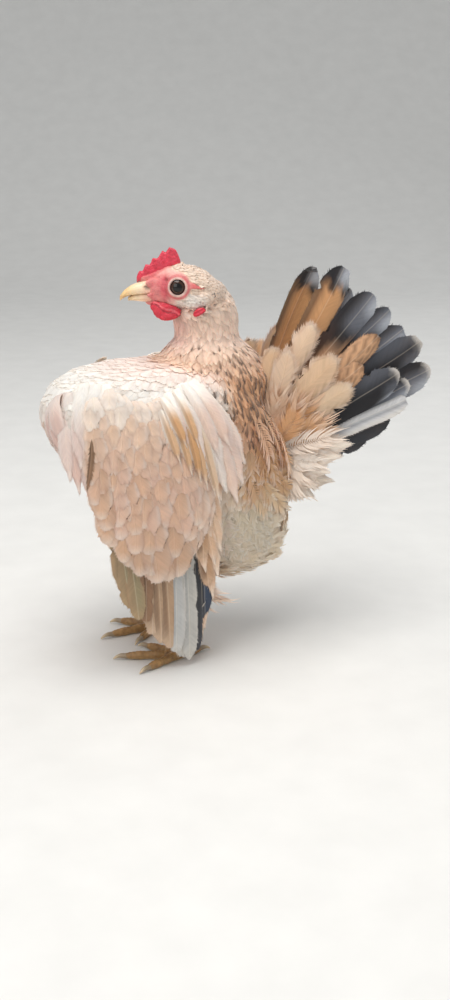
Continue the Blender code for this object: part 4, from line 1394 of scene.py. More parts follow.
def wing_feather(sheaf, painting, root, tip, half_width, lift, draw, squeeze, outline,
                 long_one=False, sink=2.4, camber=0.5):
    """One feather laid on the wing's surface from its root to its tip."""
    root, tip = Vector(root), Vector(tip)
    length = (tip - root).length
    bow = (tip - root).orthogonal().normalized() * draw.uniform(-0.8, 1.2)
    slope = math.radians(5 + draw.uniform(-4, 4))
    layer = draw.uniform(-0.2, 0.2)
    hook = draw.uniform(0.3, 1.1)

    def on_wing(down):
        flat = root.lerp(tip, down) + bow * math.sin(math.pi * clamped(down))
        y = 10.0 + (flat.x - 10.0) * squeeze
        rise = clamped(down / 0.45)
        high = lift - sink * (1 - rise) ** 2 + layer - hook * max(down - 0.7, 0.0) * 2
        return wing_point(y, flat.y, high)

    def spot(down):
        point, normal = on_wing(down)
        tangent = (on_wing(down + 0.03)[0] - point).normalized()
        across = Matrix.Rotation(slope, 3, tangent) @ tangent.cross(normal).normalized()
        return point, across, across.cross(tangent).normalized()

    add_feather(sheaf, spot, length, half_width * draw.uniform(0.94, 1.06), outline,
                wing_colour(painting, tip, draw), draw, rows=24 if long_one else 12,
                columns=9 if long_one else 7, round_tip=min(1.1 * half_width / length, 0.4),
                splits=2 if long_one else 0, camber=camber,
                loose=120 if long_one else 70, reach=0.9)


# How deep the quills lie, how deep a covert's root lies, and how high the scapulars lie
QUILL_DEPTH = 1.6
COVERT_SINK = 3.6
SCAPULAR_LIFT = 4.1


def limb_pieces(limb, side, word, quills, coverts):
    """The two pieces of a wing or of half of the tail."""
    quills.piece(f"{limb}_feathers_{word}", "quill", "buff", side, (f"{limb}_{word}",))
    coverts.piece(f"{limb}_coverts_{word}", "covert", "buff", side)


def wing(side, word):
    """One hanging wing: its long feathers, then coverts and scapulars over them."""
    draw = random.Random(SEED + side)
    quills, coverts = Sheaf(), Sheaf()
    squeeze = 1.0 if side > 0 else RIGHT_WING_WIDTH
    for painting, root, tip, half_width, lift in FLIGHTS:
        tip = Vector(tip) + strayed(draw, (-0.4, 0.4), (-0.5, 0.8))
        wing_feather(quills, painting, root, tip, half_width, lift - QUILL_DEPTH, draw, squeeze,
                     LONG_ROUND if painting != "buff" else POINTED_LOOSE, long_one=True)
    for count, tips, length, half_width, lift in COVERT_ROWS:
        for k in range(count):
            share = clamped((k + draw.uniform(-0.3, 0.3)) / (count - 1))
            tip = along(tips, share) + strayed(draw, (-0.8, 0.8), (-2.0, 1.8))
            lean = math.radians(-2 + 16 * (tip.x + 30) / 40 + draw.uniform(-9, 9))
            reach = length * draw.uniform(0.94, 1.06)
            root = tip + Vector((-math.sin(lean), math.cos(lean))) * reach
            wing_feather(coverts, "covert", root, tip, half_width, lift, draw, squeeze,
                         SHORT_ROUND, sink=COVERT_SINK, camber=1.8 if half_width > 8 else 0.7)
    for k, (painting, root, tip, half_width) in enumerate(SCAPULARS):
        tip = Vector(tip) + strayed(draw, (-1, 1), (-1.5, 1.5))
        wing_feather(coverts, painting, root, tip, half_width, SCAPULAR_LIFT + 0.09 * k, draw,
                     squeeze, POINTED if painting == "golden" else POINTED_LOOSE,
                     sink=COVERT_SINK)
    if side < 0:
        for rows in quills.points + coverts.points:
            rows[:, 1] += RIGHT_WING_BACK
    limb_pieces("wing", side, word, quills, coverts)


# The long feathers that hang over the wing's front from the breast: root and tip
CURTAIN = (
    ((8, -46, 130), (12, -47.5, 109)), ((12, -45, 132), (17, -46.5, 106)),
    ((16, -43, 134), (22, -45, 102)), ((20, -41, 135), (26, -43.5, 97)),
    ((14, -45, 133), (19, -46.5, 112)), ((22, -39, 136), (29, -42, 92)),
    ((24, -37, 137), (31, -40, 104)), ((27, -36, 138), (33, -39, 96)),
    ((29, -34, 138), (35, -37.5, 86)), ((31, -32, 138), (37, -35.5, 93)),
    ((32, -29, 138), (39.5, -32.5, 100)), ((33, -26, 138), (41.5, -29, 107)),
    ((26, -36, 140), (34, -37.5, 101)), ((30, -32, 140), (38.5, -33, 108)),
    ((28, -34, 139), (36, -36, 112)), ((32, -28, 140), (41, -29.5, 114)),
)
# On the right side they are shorter and lie closer: how far back, how deep and how long
RIGHT_CURTAIN = (3.0, -6.0, 0.72)


def curtain(side, word):
    """The breast's long pale feathers that fall over the wing's front edge."""
    draw = random.Random(SEED * 5 + side)
    sheaf = Sheaf()
    for root, tip in CURTAIN:
        base, end = Vector(root), Vector(tip) + strayed(draw, *[(-1, 1)] * 3)
        base.x -= 3.0
        outward = Vector((base.x + end.x, (base.y + end.y) * 0.75, 0.0)).normalized()
        bulge = draw.uniform(2.8, 4.2)
        if side < 0:
            back, drop, share = RIGHT_CURTAIN
            base += Vector((-1.0, back, drop))
            end = base.lerp(end + Vector((0.0, back, 0.0)), share)
            bulge -= 1.4
        heading = (end - base).normalized()
        across = heading.cross(outward).normalized()
        outward = across.cross(heading)

        def spot(down):
            swell = bulge * math.sin(math.pi * clamped(down) ** 0.75)
            return base.lerp(end, down) + outward * swell, across, outward

        add_feather(sheaf, spot, (end - base).length, draw.uniform(4.4, 5.6), POINTED_LOOSE,
                    curtain_colour(base, draw), draw, rows=20, round_tip=0.12, camber=1.0,
                    shaft=0.1, loose=150, reach=1.4)
    sheaf.piece("breast_curtain_" + word, "covert", "cream", side)


def curtain_colour(root, draw):
    """White at the root, blush below, with a pale rim."""
    warmth = draw.uniform(0.45, 0.9)
    rosy = paint(202, 156, 142)
    start = mixed(WHITE, rosy, 0.45 * float(eased(-37, -44, root.y)))

    def colour(across, down, chance):
        return coated(start, (rosy, eased(0.1, 0.6, down) * warmth),
                      (WHITE, rim_of(across, down, 0.6, 0.85) * 0.45))

    return colour


# The tail, feather by feather from the top: painting, root, tip and half-width
TAIL_FEATHERS = (
    ("tipped", (2, 56, 112), (9, 95.7, 184.0), 7.2),
    ("barred", (3, 58, 109), (12, 110, 170.5), 7.2),
    ("barred", (3, 59, 107), (12.5, 118.5, 163.0), 7.0),
    ("barred", (4, 60, 105), (13.5, 125.5, 154.0), 7.2),
    ("ink", (4, 61, 103), (16, 134, 147.0), 7.4),
    ("mottled", (5, 59, 106), (15, 112, 151.0), 5.6),
    ("silver", (5, 61, 100), (18, 138.6, 134.0), 8.0),
    ("mottled", (7, 60, 104), (17, 103, 137.0), 6.2),
    ("silver", (5, 62, 96), (19, 127.5, 127.5), 6.4),
    ("ink", (6, 62, 98), (21, 119.5, 134.0), 7.2),
    ("bright", (5, 62, 91), (20, 125.2, 119.6), 5.6),
    ("dusky", (4, 62, 88), (16, 118, 110.0), 6.0),
    ("dusky", (4, 63, 86), (13, 109, 103.0), 6.0),
    ("gold", (8, 55, 114), (14, 78, 158.0), 6.0),
    ("cream", (8, 57, 110), (19, 88, 143.5), 7.6),
    ("cream", (9, 60, 104), (20, 96, 128.0), 6.6),
    ("gold", (10, 55, 113), (17, 64, 147.0), 5.8),
    ("cream", (10, 53, 114), (15, 58, 149.0), 5.6),
    ("pale", (11, 61, 98), (21, 96.3, 100.0), 6.0),
    ("pale", (11, 61, 96), (22, 90.0, 95.0), 6.0),
    ("pale", (10, 61, 90), (21, 84.0, 87.0), 6.0),
    ("pale", (8, 62, 86), (14, 90.0, 80.5), 6.0),
    ("pale", (5, 62, 82), (8, 82.5, 72.0), 6.0),
)
# On the right side the topmost feather stands a little further forward
RIGHT_TOP = (6, 85.3, 183.0)
COVERT_PAINTINGS = ("gold", "cream", "pale")
PLUME_PAINTINGS = ("fluff", "wisp")
TAIL_PLUMES = 44


def tail_colour(painting, draw):
    """The painting of one tail feather, the dark ones with painted sheen and highlights; across is
    positive on its lower web.
    """
    warmth = draw.uniform(-0.25, 0.25)
    base = {"tipped": mixed(GOLD, SAND, 0.4), "barred": mixed(BUFF, SAND, 0.6),
            # The bright feather's silvery white is painted sheen over a dark feather.
            "ink": INK, "silver": INK, "bright": mixed(SILVER, WHITE, 0.35), "dusky": INK,
            "mottled": mixed(BUFF, SAND, 0.35), "gold": mixed(GOLD, CREAM, 0.5 + warmth),
            "cream": mixed(paint(220, 190, 160), BUFF, 0.3 + warmth),
            "pale": mixed(WHITE, CREAM, 0.5),
            "fluff": mixed(WHITE, CREAM, 0.7 + warmth),
            "wisp": mixed(GOLD, CREAM, 0.35 + warmth)}[painting]

    def colour(across, down, chance):
        ripple = 0.03 * np.sin(across * 6 + chance * 30)
        wisps = np.sin(down * 46 - np.abs(across) * 9 + chance * 40) * 0.5 + 0.5

        def mark(over, share, web, length=(-1, -0.5), edge=down):
            return over, eased(*length, edge) * eased(*web, across) * share

        whole = (-2, -1.5)
        marks = {
            # Tipped: its own umber web and black tip, with a painted silver highlight on the tip.
            "tipped": (mark(UMBER, 0.8, (-0.35, -0.7), (0.2, 0.4)),
                       mark(INK, 1.0, whole, (0.83, 0.88), down + ripple),
                       mark(SILVER, 0.9, (-0.3, 0.4), (0.86, 0.94))),
            # Barred: its own black band and umber web, with painted slate and silver sheen towards
            # the tip.
            "barred": (mark(INK, 1.0, whole, (0.5, 0.66), down + ripple - 0.12 * across),
                       mark(UMBER, 0.7, (-0.1, -0.5), (0.8, 0.5)),
                       mark(SLATE, 0.8, (-0.8, 0.2), (0.68, 0.8)),
                       mark(SILVER, 0.9, (-0.2, 0.7), (0.82, 0.94))),
            # Ink: black, with painted slate sheen on both webs, a painted silver highlight along
            # its lower edge and a painted white one at the tip.
            "ink": (mark(SLATE, 0.4, (0.3, -0.7), (0.5, 0.9)),
                    mark(SLATE, 0.5, (0.0, 0.6), (0.8, 0.9)),
                    mark(SILVER, 0.9, (0.72, 1.0), (0.72, 0.9)),
                    mark(WHITE, 0.55, whole, (0.95, 0.985))),
            # Silver: black, its tip painted slate and silver as sheen, with a painted white
            # highlight at the very tip.
            "silver": (mark(SLATE, 0.75, (-0.6, 0.3), (0.6, 0.85)),
                       mark(SILVER, 0.8, (0.1, 0.8), (0.75, 0.95)),
                       mark(WHITE, 0.6, whole, (0.955, 0.99))),
            # Bright: its own black upper web and darker middle, with painted sheen over the rest,
            # whiter on the lower web.
            "bright": (mark(INK, 0.85, (-0.2, -0.75)),
                       mark(SLATE, 0.6, whole, (0.35, 0.0), np.abs(across - 0.2)),
                       mark(WHITE, 0.6, (0.45, 0.9))),
            # Dusky: black with an even slate tone, lighter on the upper web as painted sheen.
            "dusky": ((SLATE, eased(0.0, -0.8, across) * 0.5 + 0.12),),
            "mottled": (mark(UMBER, eased(0.6, 0.95, wisps) * 0.55, whole, (0.25, 0.6)),
                        mark(UMBER, 0.5, whole, (0.94, 1.0))),
        }.get(painting)
        if marks:
            return coated(base, *marks)
        # Painted shade: darker towards the root, where the feather above lies over it.
        tint = darker(base, 0.12 * eased(0.5, 0.1, down))
        tint = mixed(tint, WHITE, rim_of(across, down, 0.7, 0.9) * 0.25)
        if painting in ("cream", "gold"):
            cloud = eased(0.55, 1.0, wisps) * (0.5 if chance > 0.4 else 0.0)
            smoke = 0.5 if chance > 0.3 else 0.0
            return coated(tint, mark(mixed(SAND, UMBER, 0.3), cloud, (0.3, 0.9)),
                          mark(UMBER, smoke, (0.0, 0.7), (0.9, 1.0)))
        return tint

    return colour


def tail_feather(sheaf, painting, root, tip, half_width, draw):
    """One tail feather: straight from its root, bowed outwards, its tip curled."""
    base, tip = Vector(root), Vector(tip)
    length = tip - base
    heading = length.normalized()
    outward = Vector((1.0, 0.0, 0.0))
    outward = (outward - heading * outward.dot(heading)).normalized()
    soft = painting in COVERT_PAINTINGS + PLUME_PAINTINGS
    slope = math.radians(draw.uniform(-13, -3))
    across = Matrix.Rotation(slope, 3, heading) @ heading.cross(outward).normalized()
    normal = across.cross(heading).normalized()
    bow = draw.uniform(1.6, 2.8)
    hook = draw.uniform(1.0, 2.6) if not soft else draw.uniform(-1.5, 1.0)
    droop = draw.uniform(-1.0, 2.0) if soft else draw.uniform(0.0, 1.6)

    def spot(down):
        curl = max(down - 0.78, 0.0) / 0.22
        bend = math.sin(math.pi * clamped(down))
        point = base + length * down + outward * (bow * bend - hook * curl * curl * 0.5)
        return point - across * droop * bend, across, normal

    colour = tail_colour(painting, draw)
    if painting in PLUME_PAINTINGS:
        add_plume(sheaf, spot, length.length, half_width * 1.35, colour, draw)
        return
    outline = {"pale": POINTED_LOOSE, "cream": LONG_ROUND, "gold": LONG_ROUND}.get(
        painting, TAIL_ROUND)
    add_feather(sheaf, spot, length.length, half_width * draw.uniform(0.98, 1.06), outline,
                colour, draw, rows=16 if soft else 28,
                round_tip=min(half_width / length.length, 0.4),
                fray=0.06 if soft else 0.025, splits=4 if soft else 1,
                camber=1.0 if soft else 1.6, loose=190 if soft else 110,
                reach=1.8 if soft else 0.8)


def skin_picks(mesh, share, count, apart, draw):
    """Places on the skin, no closer together than `apart`, likelier where share is high."""
    points = surface_of(mesh)[0]
    likely = share(points)
    order = [k for k in range(len(points)) if likely[k] > 0.01]
    draw.shuffle(order)
    chosen, places = [], np.zeros((0, 3))
    for k in order:
        if draw.random() > likely[k]:
            continue
        if len(places) and np.min(np.sum((places - points[k]) ** 2, axis=1)) < apart**2:
            continue
        chosen.append(k)
        places = np.concatenate([places, points[k:k + 1]])
        if len(chosen) == count:
            break
    return chosen


def loose_plumes(body, name, share, count, apart, length, half_width, stand, way, slot):
    """Loose plumes over one part of the coat, each rooted on the skin."""
    draw = random.Random(SEED * 7 + count)
    mesh = body.data
    points = surface_of(mesh)[0]
    lies, facings = fetch(mesh, "lie", 3), fetch(mesh, "facing", 3)
    sheaf = Sheaf()
    for k in skin_picks(mesh, share, count, apart, draw):
        root, facing = Vector(points[k]), Vector(facings[k])
        heading = Vector(lies[k]) + Vector(way) + strayed(draw, *[(-0.3, 0.3)] * 3)
        heading = (heading - facing * heading.dot(facing)).normalized()
        side = heading.cross(facing).normalized()
        reach = length * draw.uniform(0.8, 1.2)
        high = stand * draw.uniform(0.7, 1.3)
        drift = draw.uniform(-3, 3)
        base = mixed(plumage_at(np.array([root]))[0], GOLD if slot == "buff" else CREAM,
                     draw.uniform(0.0, 0.5))

        def spot(down):
            far = reach * down
            out = -0.5 + high * min(max(down, 0.0), 1.2) ** 0.7 - far * far / 100.0
            place = root + heading * far + facing * out + side * (drift * down * down)
            return place, side, facing

        def colour(across, down, chance):
            # Painted shade: darker towards the root, deeper in the coat.
            tint = darker(base, 0.12 * eased(0.5, 0.1, down))
            return mixed(tint, WHITE, rim_of(across, down, 0.5, 0.8) * 0.3)

        add_plume(sheaf, spot, reach, half_width * draw.uniform(0.85, 1.2), colour, draw, 34)
    sheaf.piece(name, "down", slot)


def over_saddle(p):
    """Where the golden plumes of the saddle grow, on both flanks of the tail's root."""
    x, y, z = mirrored(p)
    return eased(34, 40, y) * eased(78, 86, z) * eased(126, 116, z) * eased(7, 12, x)


def over_vent(p):
    """Where the pale fluff of the abdomen, the vent and the thighs' ends grows."""
    x, y, z = mirrored(p)
    vent = eased(14, 30, y) * eased(88, 80, z) * eased(36, 46, z)
    thighs = eased(52, 46, z) * eased(28, 24, y) * eased(8, 11, x)
    return np.maximum(vent * 0.6, thighs)


def tail(side, word):
    """One half of the tail: long feathers, coverts, and loose fluff over their roots."""
    draw = random.Random(SEED * 3 + side)
    quills, loose = Sheaf(), Sheaf()
    for painting, root, tip, half_width in TAIL_FEATHERS:
        tip = Vector(tip) + Vector((0.0, *strayed(draw, (-0.6, 0.6), (-0.6, 0.6))))
        if side < 0:
            tip = Vector((tip.x, tip.y * 0.985, tip.z * 0.99 + 1.0))
            if painting == "tipped":
                tip = Vector(RIGHT_TOP)
        sheaf = loose if painting in COVERT_PAINTINGS else quills
        tail_feather(sheaf, painting, root, tip, half_width, draw)
    for k in range(TAIL_PLUMES):
        share = ((k * 9) % TAIL_PLUMES) / (TAIL_PLUMES - 1)
        angle = math.radians(84 - 122 * share + draw.uniform(-8, 8))
        reach = draw.uniform(15, 25) * (1 + 0.2 * math.sin(math.pi * share))
        root = Vector((12 + draw.uniform(-2, 3), 52 + 8 * math.sin(math.pi * share)
                       + draw.uniform(-2, 3), 106 - 18 * share + draw.uniform(-4, 4)))
        tip = root + Vector((draw.uniform(2, 8), math.cos(angle) * reach, math.sin(angle) * reach))
        painting = "wisp" if share < 0.55 + draw.uniform(-0.2, 0.1) else "fluff"
        tail_feather(loose, painting, root, tip, draw.uniform(3.6, 5.0), draw)
    limb_pieces("tail", side, word, quills, loose)


# The head's fittings: stations along the bill, each with its top, its bottom and half width

UPPER_BEAK = (
    (-9.5, 3.0, -4.3, 4.9), (-13.5, 2.5, -4.3, 4.4), (-17.5, 1.4, -4.4, 3.8),
    (-21.5, -0.3, -4.8, 3.0), (-24.5, -2.4, -5.8, 2.0), (-26.6, -5.0, -7.2, 0.9),
)
LOWER_BEAK = (
    (-8.5, -3.6, -8.6, 4.3), (-13.5, -3.6, -8.0, 3.8), (-17.5, -3.9, -7.5, 3.1),
    (-20.5, -4.4, -7.2, 2.3), (-22.8, -5.6, -7.2, 1.1),
)


def ring_loft(rings):
    """A closed bmesh over rings of points, with a fan over each end."""
    builder = bmesh.new()
    rows = [[builder.verts.new(point) for point in ring] for ring in rings]
    count = len(rows[0])
    for near, far in zip(rows, rows[1:]):
        join_rings(builder, near, far)
    for row in (rows[0], rows[-1]):
        middle = builder.verts.new(sum((v.co for v in row), Vector()) / count)
        for k in range(count):
            builder.faces.new((row[k], row[(k + 1) % count], middle))
    bmesh.ops.recalc_face_normals(builder, faces=builder.faces)
    return builder


# Along and up the bill
NOSTRIL = (-13.9, -0.5)


def beak(name, sections, upper):
    """Half of the bill, with its ridge, cutting edge and, above, the nostril."""
    rings, stations, sides = [], 30, 28
    for k in range(stations):
        y, top, bottom, half = along([Vector(s) for s in sections], k / (stations - 1))
        middle, root_shade = (top + bottom) / 2, (top - bottom) / 2
        ring = []
        for j in range(sides):
            angle = 2 * math.pi * j / sides
            x, z = math.sin(angle), math.cos(angle)
            outer = (z > 0) == upper
            x = math.copysign(abs(x) ** (0.92 if outer else 0.7), x)
            z = math.copysign(abs(z) ** (1.05 if outer else 0.55), z)
            point = Vector((half * x, y, middle + root_shade * z))
            if upper and abs(point.x) > 2.4:
                near = math.hypot((y - NOSTRIL[0]) / 2.1, (point.z - NOSTRIL[1]) / 0.9)
                point.x -= math.copysign(max(0.0, 1 - near**2) * 1.1, point.x)
                lip = math.hypot((y + 12.9) / 2.6, (point.z - 0.6) / 1.0)
                point.x += math.copysign(max(0.0, 1 - lip**2) * 0.35, point.x)
            ring.append((HEAD_PLACE @ point + SHIFT) * MM)
        rings.append(ring)
    mesh = mesh_from(ring_loft(rings), name)
    y, z = in_head(surface_of(mesh)[0])[:, 1:].T
    edge = eased(0.9, 0.1, np.abs(z + 4.3 - 0.09 * (y + 14)))
    hole = eased(1.2, 0.5, np.hypot((y - NOSTRIL[0]) / 1.9, (z - NOSTRIL[1]) / 0.8))
    tint = coated(
        paint(236, 212, 178),
        (paint(222, 182, 118), eased(-17, -25, y) * 0.8),
        (mixed(ROSE, BLUSH, 0.5), eased(-18.5, -11.5, y) * 0.8),
        (paint(150, 108, 66), edge * 0.45),
        (paint(110, 84, 72), hole * (0.8 if upper else 0.0)))
    piece_from(name + "_horn", painted(mesh, tint), "horn", (name,))


def creased_lobe(points):
    """The earlobe's points drawn in to a low crescent, tilted up to the rear."""
    h = in_head(points)
    middle = h.mean(axis=0)
    slope = math.radians(26)
    y, z = h[:, 1] - middle[1], h[:, 2] - middle[2]
    far = y * math.cos(slope) + z * math.sin(slope)
    high = z * math.cos(slope) - y * math.sin(slope)
    high = high * 0.78 - 0.05 * far * far
    h[:, 0] -= 0.45 * np.sign(middle[0]) * eased(0.9, 0.2, np.abs(high - 0.25))
    h[:, 1] = middle[1] + far * math.cos(slope) - high * math.sin(slope)
    h[:, 2] = middle[2] + far * math.sin(slope) + high * math.cos(slope)
    return on_head(h)


def fleshy(name, voxel, smoothing, colour, roughen, nodes, shape=None):
    """A comb, wattle or lobe: the CAD node's shape made round, fine and uneven."""
    builder = bmesh.new()
    cad_copy(builder, nodes[0])
    mesh = remeshed(builder, voxel, smoothing)
    points, facing = surface_of(mesh)
    if shape:
        points = shape(points)
    bumps = roughen * (wobble(points, 0.8, 2) + 0.8 * wobble(points, 1.7, 4))
    reshape(mesh, points + facing * bumps[:, None])
    tint = colour(in_head(points), wobble(points, 1.3, 9))
    piece_from(name, painted(mesh, tint), "comb", nodes)


def comb_tint(h, noisy):
    """Crimson, paler in random blotches and rose along the foot."""
    foot = eased(4.5, 1.5, h[:, 2] - 0.4 * (h[:, 1] + 15))
    return coated(CRIMSON, (paint(230, 84, 104), 0.35 + 0.35 * noisy), (ROSE, foot * 0.45))


def wattle_tint(h, noisy):
    """Crimson, with painted shade along a fold line and a painted highlight beside it."""
    line = h[:, 2] + 11.4 + 0.42 * (h[:, 1] + 4) + 0.5 * np.sin(h[:, 1] * 0.8) + 0.7 * noisy
    return coated(
        CRIMSON,
        (paint(214, 60, 74), 0.35 + 0.3 * noisy),
        # Painted shade in the fold.
        (paint(96, 10, 26), eased(0.6, 0.1, np.abs(line)) * 0.6),
        # Painted highlight along the fold's lip.
        (paint(236, 140, 144), eased(0.6, 0.15, np.abs(line - 1.1)) * 0.35))


def eyes():
    """Both eyes, each a ball with a painted iris round a black pupil."""
    for side, word in SIDES:
        builder = bmesh.new()
        turn = Matrix.Rotation(math.pi / 2, 4, "Y")
        add_ball(builder, (side * EYE_DEPTH, 0, 0), (EYE_RADIUS - 0.05,) * 3, turn,
                 segments=48, rings=32, head=True)
        mesh = mesh_from(builder, "eyeball_" + word)
        far = np.hypot(*in_head(surface_of(mesh)[0])[:, 1:].T)
        tint = coated(paint(58, 32, 18), (paint(26, 14, 10), eased(2.6, 3.2, far)),
                      (paint(6, 5, 5), eased(2.25, 1.9, far)))
        piece_from("eyeball_" + word, painted(mesh, tint), "eye", ("eye_" + word,))


# Legs

LEG_X = 19.0
HOCK = (16.5, 33.0)
ANKLE_Z = 7.2
TOE_HEIGHT = 2.1
# Each toe's way, in degrees out from the front, and its length
TOES = (("inner", -53.0, 19.0), ("middle", -16.0, 26.0), ("outer", 27.0, 20.5),
        ("hind", -164.0, 12.0))
# Where each foot stands, and how many degrees it is turned out
FOOT_PLACES = {1: (18.0, 8.0, 0.0), -1: (-21.0, 9.5, 8.0)}


def scaled_tube(builder, points, radii, scute, front, rows_per=5, sides=20):
    """A limb along points, its front half in overlapping scutes of that length."""
    marks = [0.0]
    for near, far in zip(points, points[1:]):
        marks.append(marks[-1] + (far - near).length)
    total = marks[-1]
    count = max(int(total / scute * rows_per), 4)
    rings = []
    for k in range(count + 1):
        far = total * k / count
        step = max(i for i in range(len(points) - 1) if marks[i] <= far + 1e-9)
        part = (far - marks[step]) / (marks[step + 1] - marks[step])
        share = (step + part) / (len(points) - 1)
        centre = along(points, share)
        radius = np.interp(far, marks, radii)
        way = along(points, min(share + 0.02, 1.0)) - along(points, max(share - 0.02, 0.0))
        side = way.normalized().cross(front).normalized()
        ahead = side.cross(way.normalized()).normalized()
        phase = (far / scute) % 1.0
        ring = []
        for j in range(sides):
            angle = 2 * math.pi * j / sides
            facing = math.cos(angle)
            plate = 0.17 * (phase - 0.45) * max(facing + 0.35, 0.0) / 1.35
            back = 0.06 * math.sin(angle * 7 + far * 3.0) * max(-facing, 0.0)
            reach = radius * (1 + plate + back)
            ring.append((centre + (ahead * facing + side * math.sin(angle)) * reach + SHIFT) * MM)
        rings.append(ring)
    join_mesh(builder, mesh_from(ring_loft(rings)))


UP = Vector((0.0, 0.0, 1.0))
TOE_SHARES = (0.0, 0.12, 0.28, 0.42, 0.6, 0.74, 0.92, 1.0)
TOE_RADII = (2.6, 2.5, 2.05, 2.35, 1.9, 2.15, 1.7, 1.2)
CLAW_RADII = (1.4, 1.15, 0.72, 0.2)
SHANK_RADII = (3.4, 3.05, 3.05, 3.0)


def claw(name, tip, ahead):
    """One claw, curved down from the toe's tip."""
    builder = bmesh.new()
    path = [tip - ahead * 1.0, tip + ahead * 2.2 + UP * 0.3, tip + ahead * 4.5 - UP * 0.3,
            tip + ahead * 6.1 - UP * 1.3]
    scaled_tube(builder, path, CLAW_RADII, 9.0, UP, rows_per=12, sides=14)
    mesh = mesh_from(builder, "claw")
    far = np.linalg.norm(surface_of(mesh)[0] - np.array(tip), axis=1)
    tint = mixed(paint(150, 132, 108), paint(206, 184, 150), eased(2.0, 6.0, far))
    piece_from("claw_horn_" + name, painted(mesh, tint), "horn", ("claw_" + name,))


def leg(side, word):
    """Scaled shank, and the foot with its toes and pads."""
    x, y, turned = FOOT_PLACES[side]
    hock = Vector((side * LEG_X, *HOCK))
    ankle = Vector((x, y + 1.6, ANKLE_Z))
    top = hock + (hock - ankle).normalized() * 2.0
    builder = bmesh.new()
    path = [top, top.lerp(ankle, 0.4), top.lerp(ankle, 0.8), ankle + Vector((0, -0.6, -3))]
    scaled_tube(builder, path, SHANK_RADII, 2.5, Vector((0.0, -1.0, 0.3)))
    piece_from("shank_scales_" + word, finished_limb(builder), "scale",
               ("shank_" + word,))
    builder = bmesh.new()
    centre = Vector((x, y, 0.0))
    add_ball(builder, centre + Vector((0, 0.2, 3.3)), (4.0, 4.3, 3.1),
             segments=20, rings=12)
    for name, heading, length in TOES:
        way = math.radians(side * (heading + turned))
        ahead = Vector((math.sin(way), -math.cos(way), 0.0))
        places = [centre + ahead * length * s + UP * (TOE_HEIGHT + 0.25 - 0.35 * s)
                  for s in TOE_SHARES]
        scaled_tube(builder, places, TOE_RADII, 1.75, UP)
        claw(f"{name}_{word}", centre + ahead * length + UP * (TOE_HEIGHT - 0.25), ahead)
    piece_from("foot_scales_" + word, finished_limb(builder), "scale",
               ("foot_" + word,))


def finished_limb(builder):
    """The limb's mesh, joined, kept above the floor and tinted ochre."""
    bmesh.ops.recalc_face_normals(builder, faces=builder.faces)
    mesh = remeshed(builder, voxel=0.3, smoothing=1)
    p = surface_of(mesh)[0]
    tint = coated(paint(176, 136, 84), (paint(122, 88, 54), 0.4 + 0.5 * wobble(p, 2.2, 6)),
                  (paint(196, 166, 124), eased(1.6, 0.2, p[:, 2])))
    floor = unplaced(np.zeros(3))[2]
    p[:, 2] = np.maximum(p[:, 2], floor)
    reshape(mesh, p)
    return painted(mesh, tint)


# Stage, lights and camera

FLOOR_ROWS = 40


def stage():
    """A pale floor that curves up behind her."""
    away, side = Vector((-0.94, 0.34, 0.0)), Vector((0.34, 0.94, 0.0))
    builder = bmesh.new()
    grid = []
    for k in range(FLOOR_ROWS):
        share = 2 * k / (FLOOR_ROWS - 1)
        turn = max(share - 1.0, 0.0) * math.pi / 2
        back = -9.0 + 10.2 * min(share, 1.0) + 1.4 * math.sin(turn)
        row = away * back + UP * 2.2 * (1 - math.cos(turn))
        grid.append([builder.verts.new(row + side * s * 9.0) for s in (-1.0, -0.5, 0.0, 0.5, 1.0)])
    for near, far in zip(grid, grid[1:]):
        for k in range(4):
            builder.faces.new((near[k], near[k + 1], far[k + 1], far[k]))
    bmesh.ops.recalc_face_normals(builder, faces=builder.faces)
    mesh = mesh_from(builder, "floor")
    mesh.shade_smooth()
    made, shader, w = new_material("floor")
    ramp = w.add("ShaderNodeValToRGB", {0: w.object_noise(40.0, 4.0)})
    ramp.color_ramp.elements[0].color = (*paint(214, 213, 210), 1.0)
    ramp.color_ramp.elements[1].color = (*paint(226, 225, 222), 1.0)
    w.feed(shader, {"Base Color": ramp.outputs[0], "Roughness": 0.8})
    mesh.materials.append(made)
    placed_object("floor", mesh)


def aimed(name, data, place, target):
    """A lamp or camera at a place, turned to its target."""
    made = placed_object(name, data)
    made.location = place
    made.rotation_euler = (Vector(target) - Vector(place)).to_track_quat("-Z", "Y").to_euler()
    return made


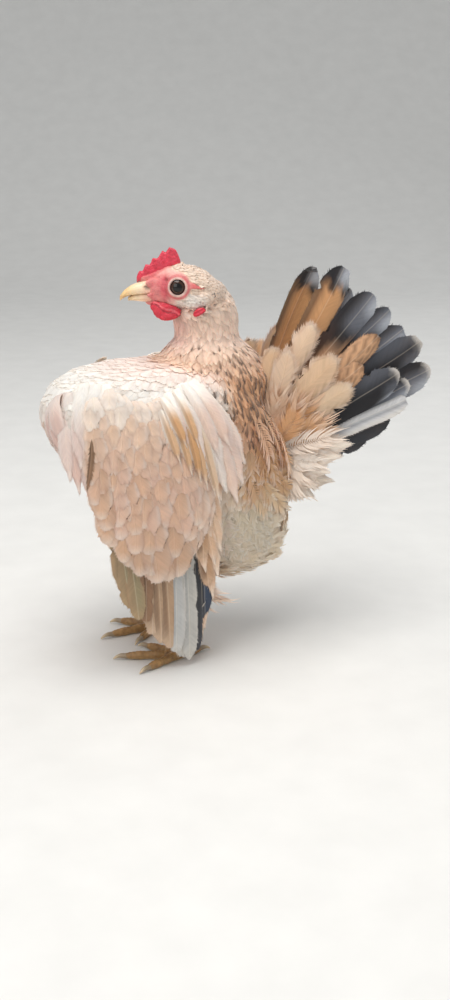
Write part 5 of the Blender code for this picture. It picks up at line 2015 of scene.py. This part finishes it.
def lamp(name, place, size, power, warmth):
    """A soft square lamp aimed at her."""
    tone_and_root_shade = bpy.data.lights.new(name, "AREA")
    tone_and_root_shade.shape = "SQUARE"
    tone_and_root_shade.size = size
    tone_and_root_shade.energy = power
    tone_and_root_shade.color = warmth
    aimed(name, tone_and_root_shade, place, (0.0, 0.0, 0.1))


def lights():
    """Overcast light from above, a little from her front."""
    lamp("high", (0.2, -0.2, 1.1), 0.8, 11.0, (1.0, 0.985, 0.96))
    lamp("front", (1.0, -1.0, 0.6), 0.9, 4.5, (1.0, 0.97, 0.94))
    lamp("rear", (-0.5, 1.0, 0.8), 0.8, 3.0, (0.95, 0.97, 1.0))
    world = bpy.data.worlds.new("studio")
    world.use_nodes = True
    Wiring(world.node_tree).feed(world.node_tree.nodes["Background"],
                                 {"Color": (0.86, 0.88, 0.9, 1.0), "Strength": 0.55})
    bpy.context.scene.world = world


def camera():
    """The photograph's place and angle."""
    lens = bpy.data.cameras.new("camera")
    lens.lens = 45.54
    lens.sensor_width = 36.0
    lens.clip_start = 0.01
    place, target = placed([(557.2, -164.7, 253.3), (0.0, 38.1, 72.0)])
    bpy.context.scene.camera = aimed("camera", lens, place, target)


bpy.context.scene.view_settings.view_transform = "Standard"
camera()
stage()
lights()
hen_skin = skin()
lay_coat(hen_skin, layer_tree())
loose_plumes(hen_skin, "saddle_plumes", over_saddle, count=120, apart=3.6, length=24.0,
             half_width=4.6, stand=5.0, way=(0.0, 0.5, -0.35), slot="buff")
loose_plumes(hen_skin, "belly_plumes", over_vent, count=170, apart=4.0, length=16.0,
             half_width=5.0, stand=3.2, way=(0.0, 0.3, -0.1), slot="cream")
for side, word in SIDES:
    wing(side, word)
    curtain(side, word)
    tail(side, word)
    leg(side, word)
beak("beak_upper", UPPER_BEAK, True)
beak("beak_lower", LOWER_BEAK, False)
fleshy("comb_flesh", 0.35, 3, comb_tint, 0.16, ("comb",))
for word in ("left", "right"):
    fleshy("wattle_flesh_" + word, 0.3, 3, wattle_tint, 0.1, ("wattle_" + word,))
    fleshy("earlobe_flesh_" + word, 0.25, 2, wattle_tint, 0.06, ("earlobe_" + word,),
           creased_lobe)
eyes()
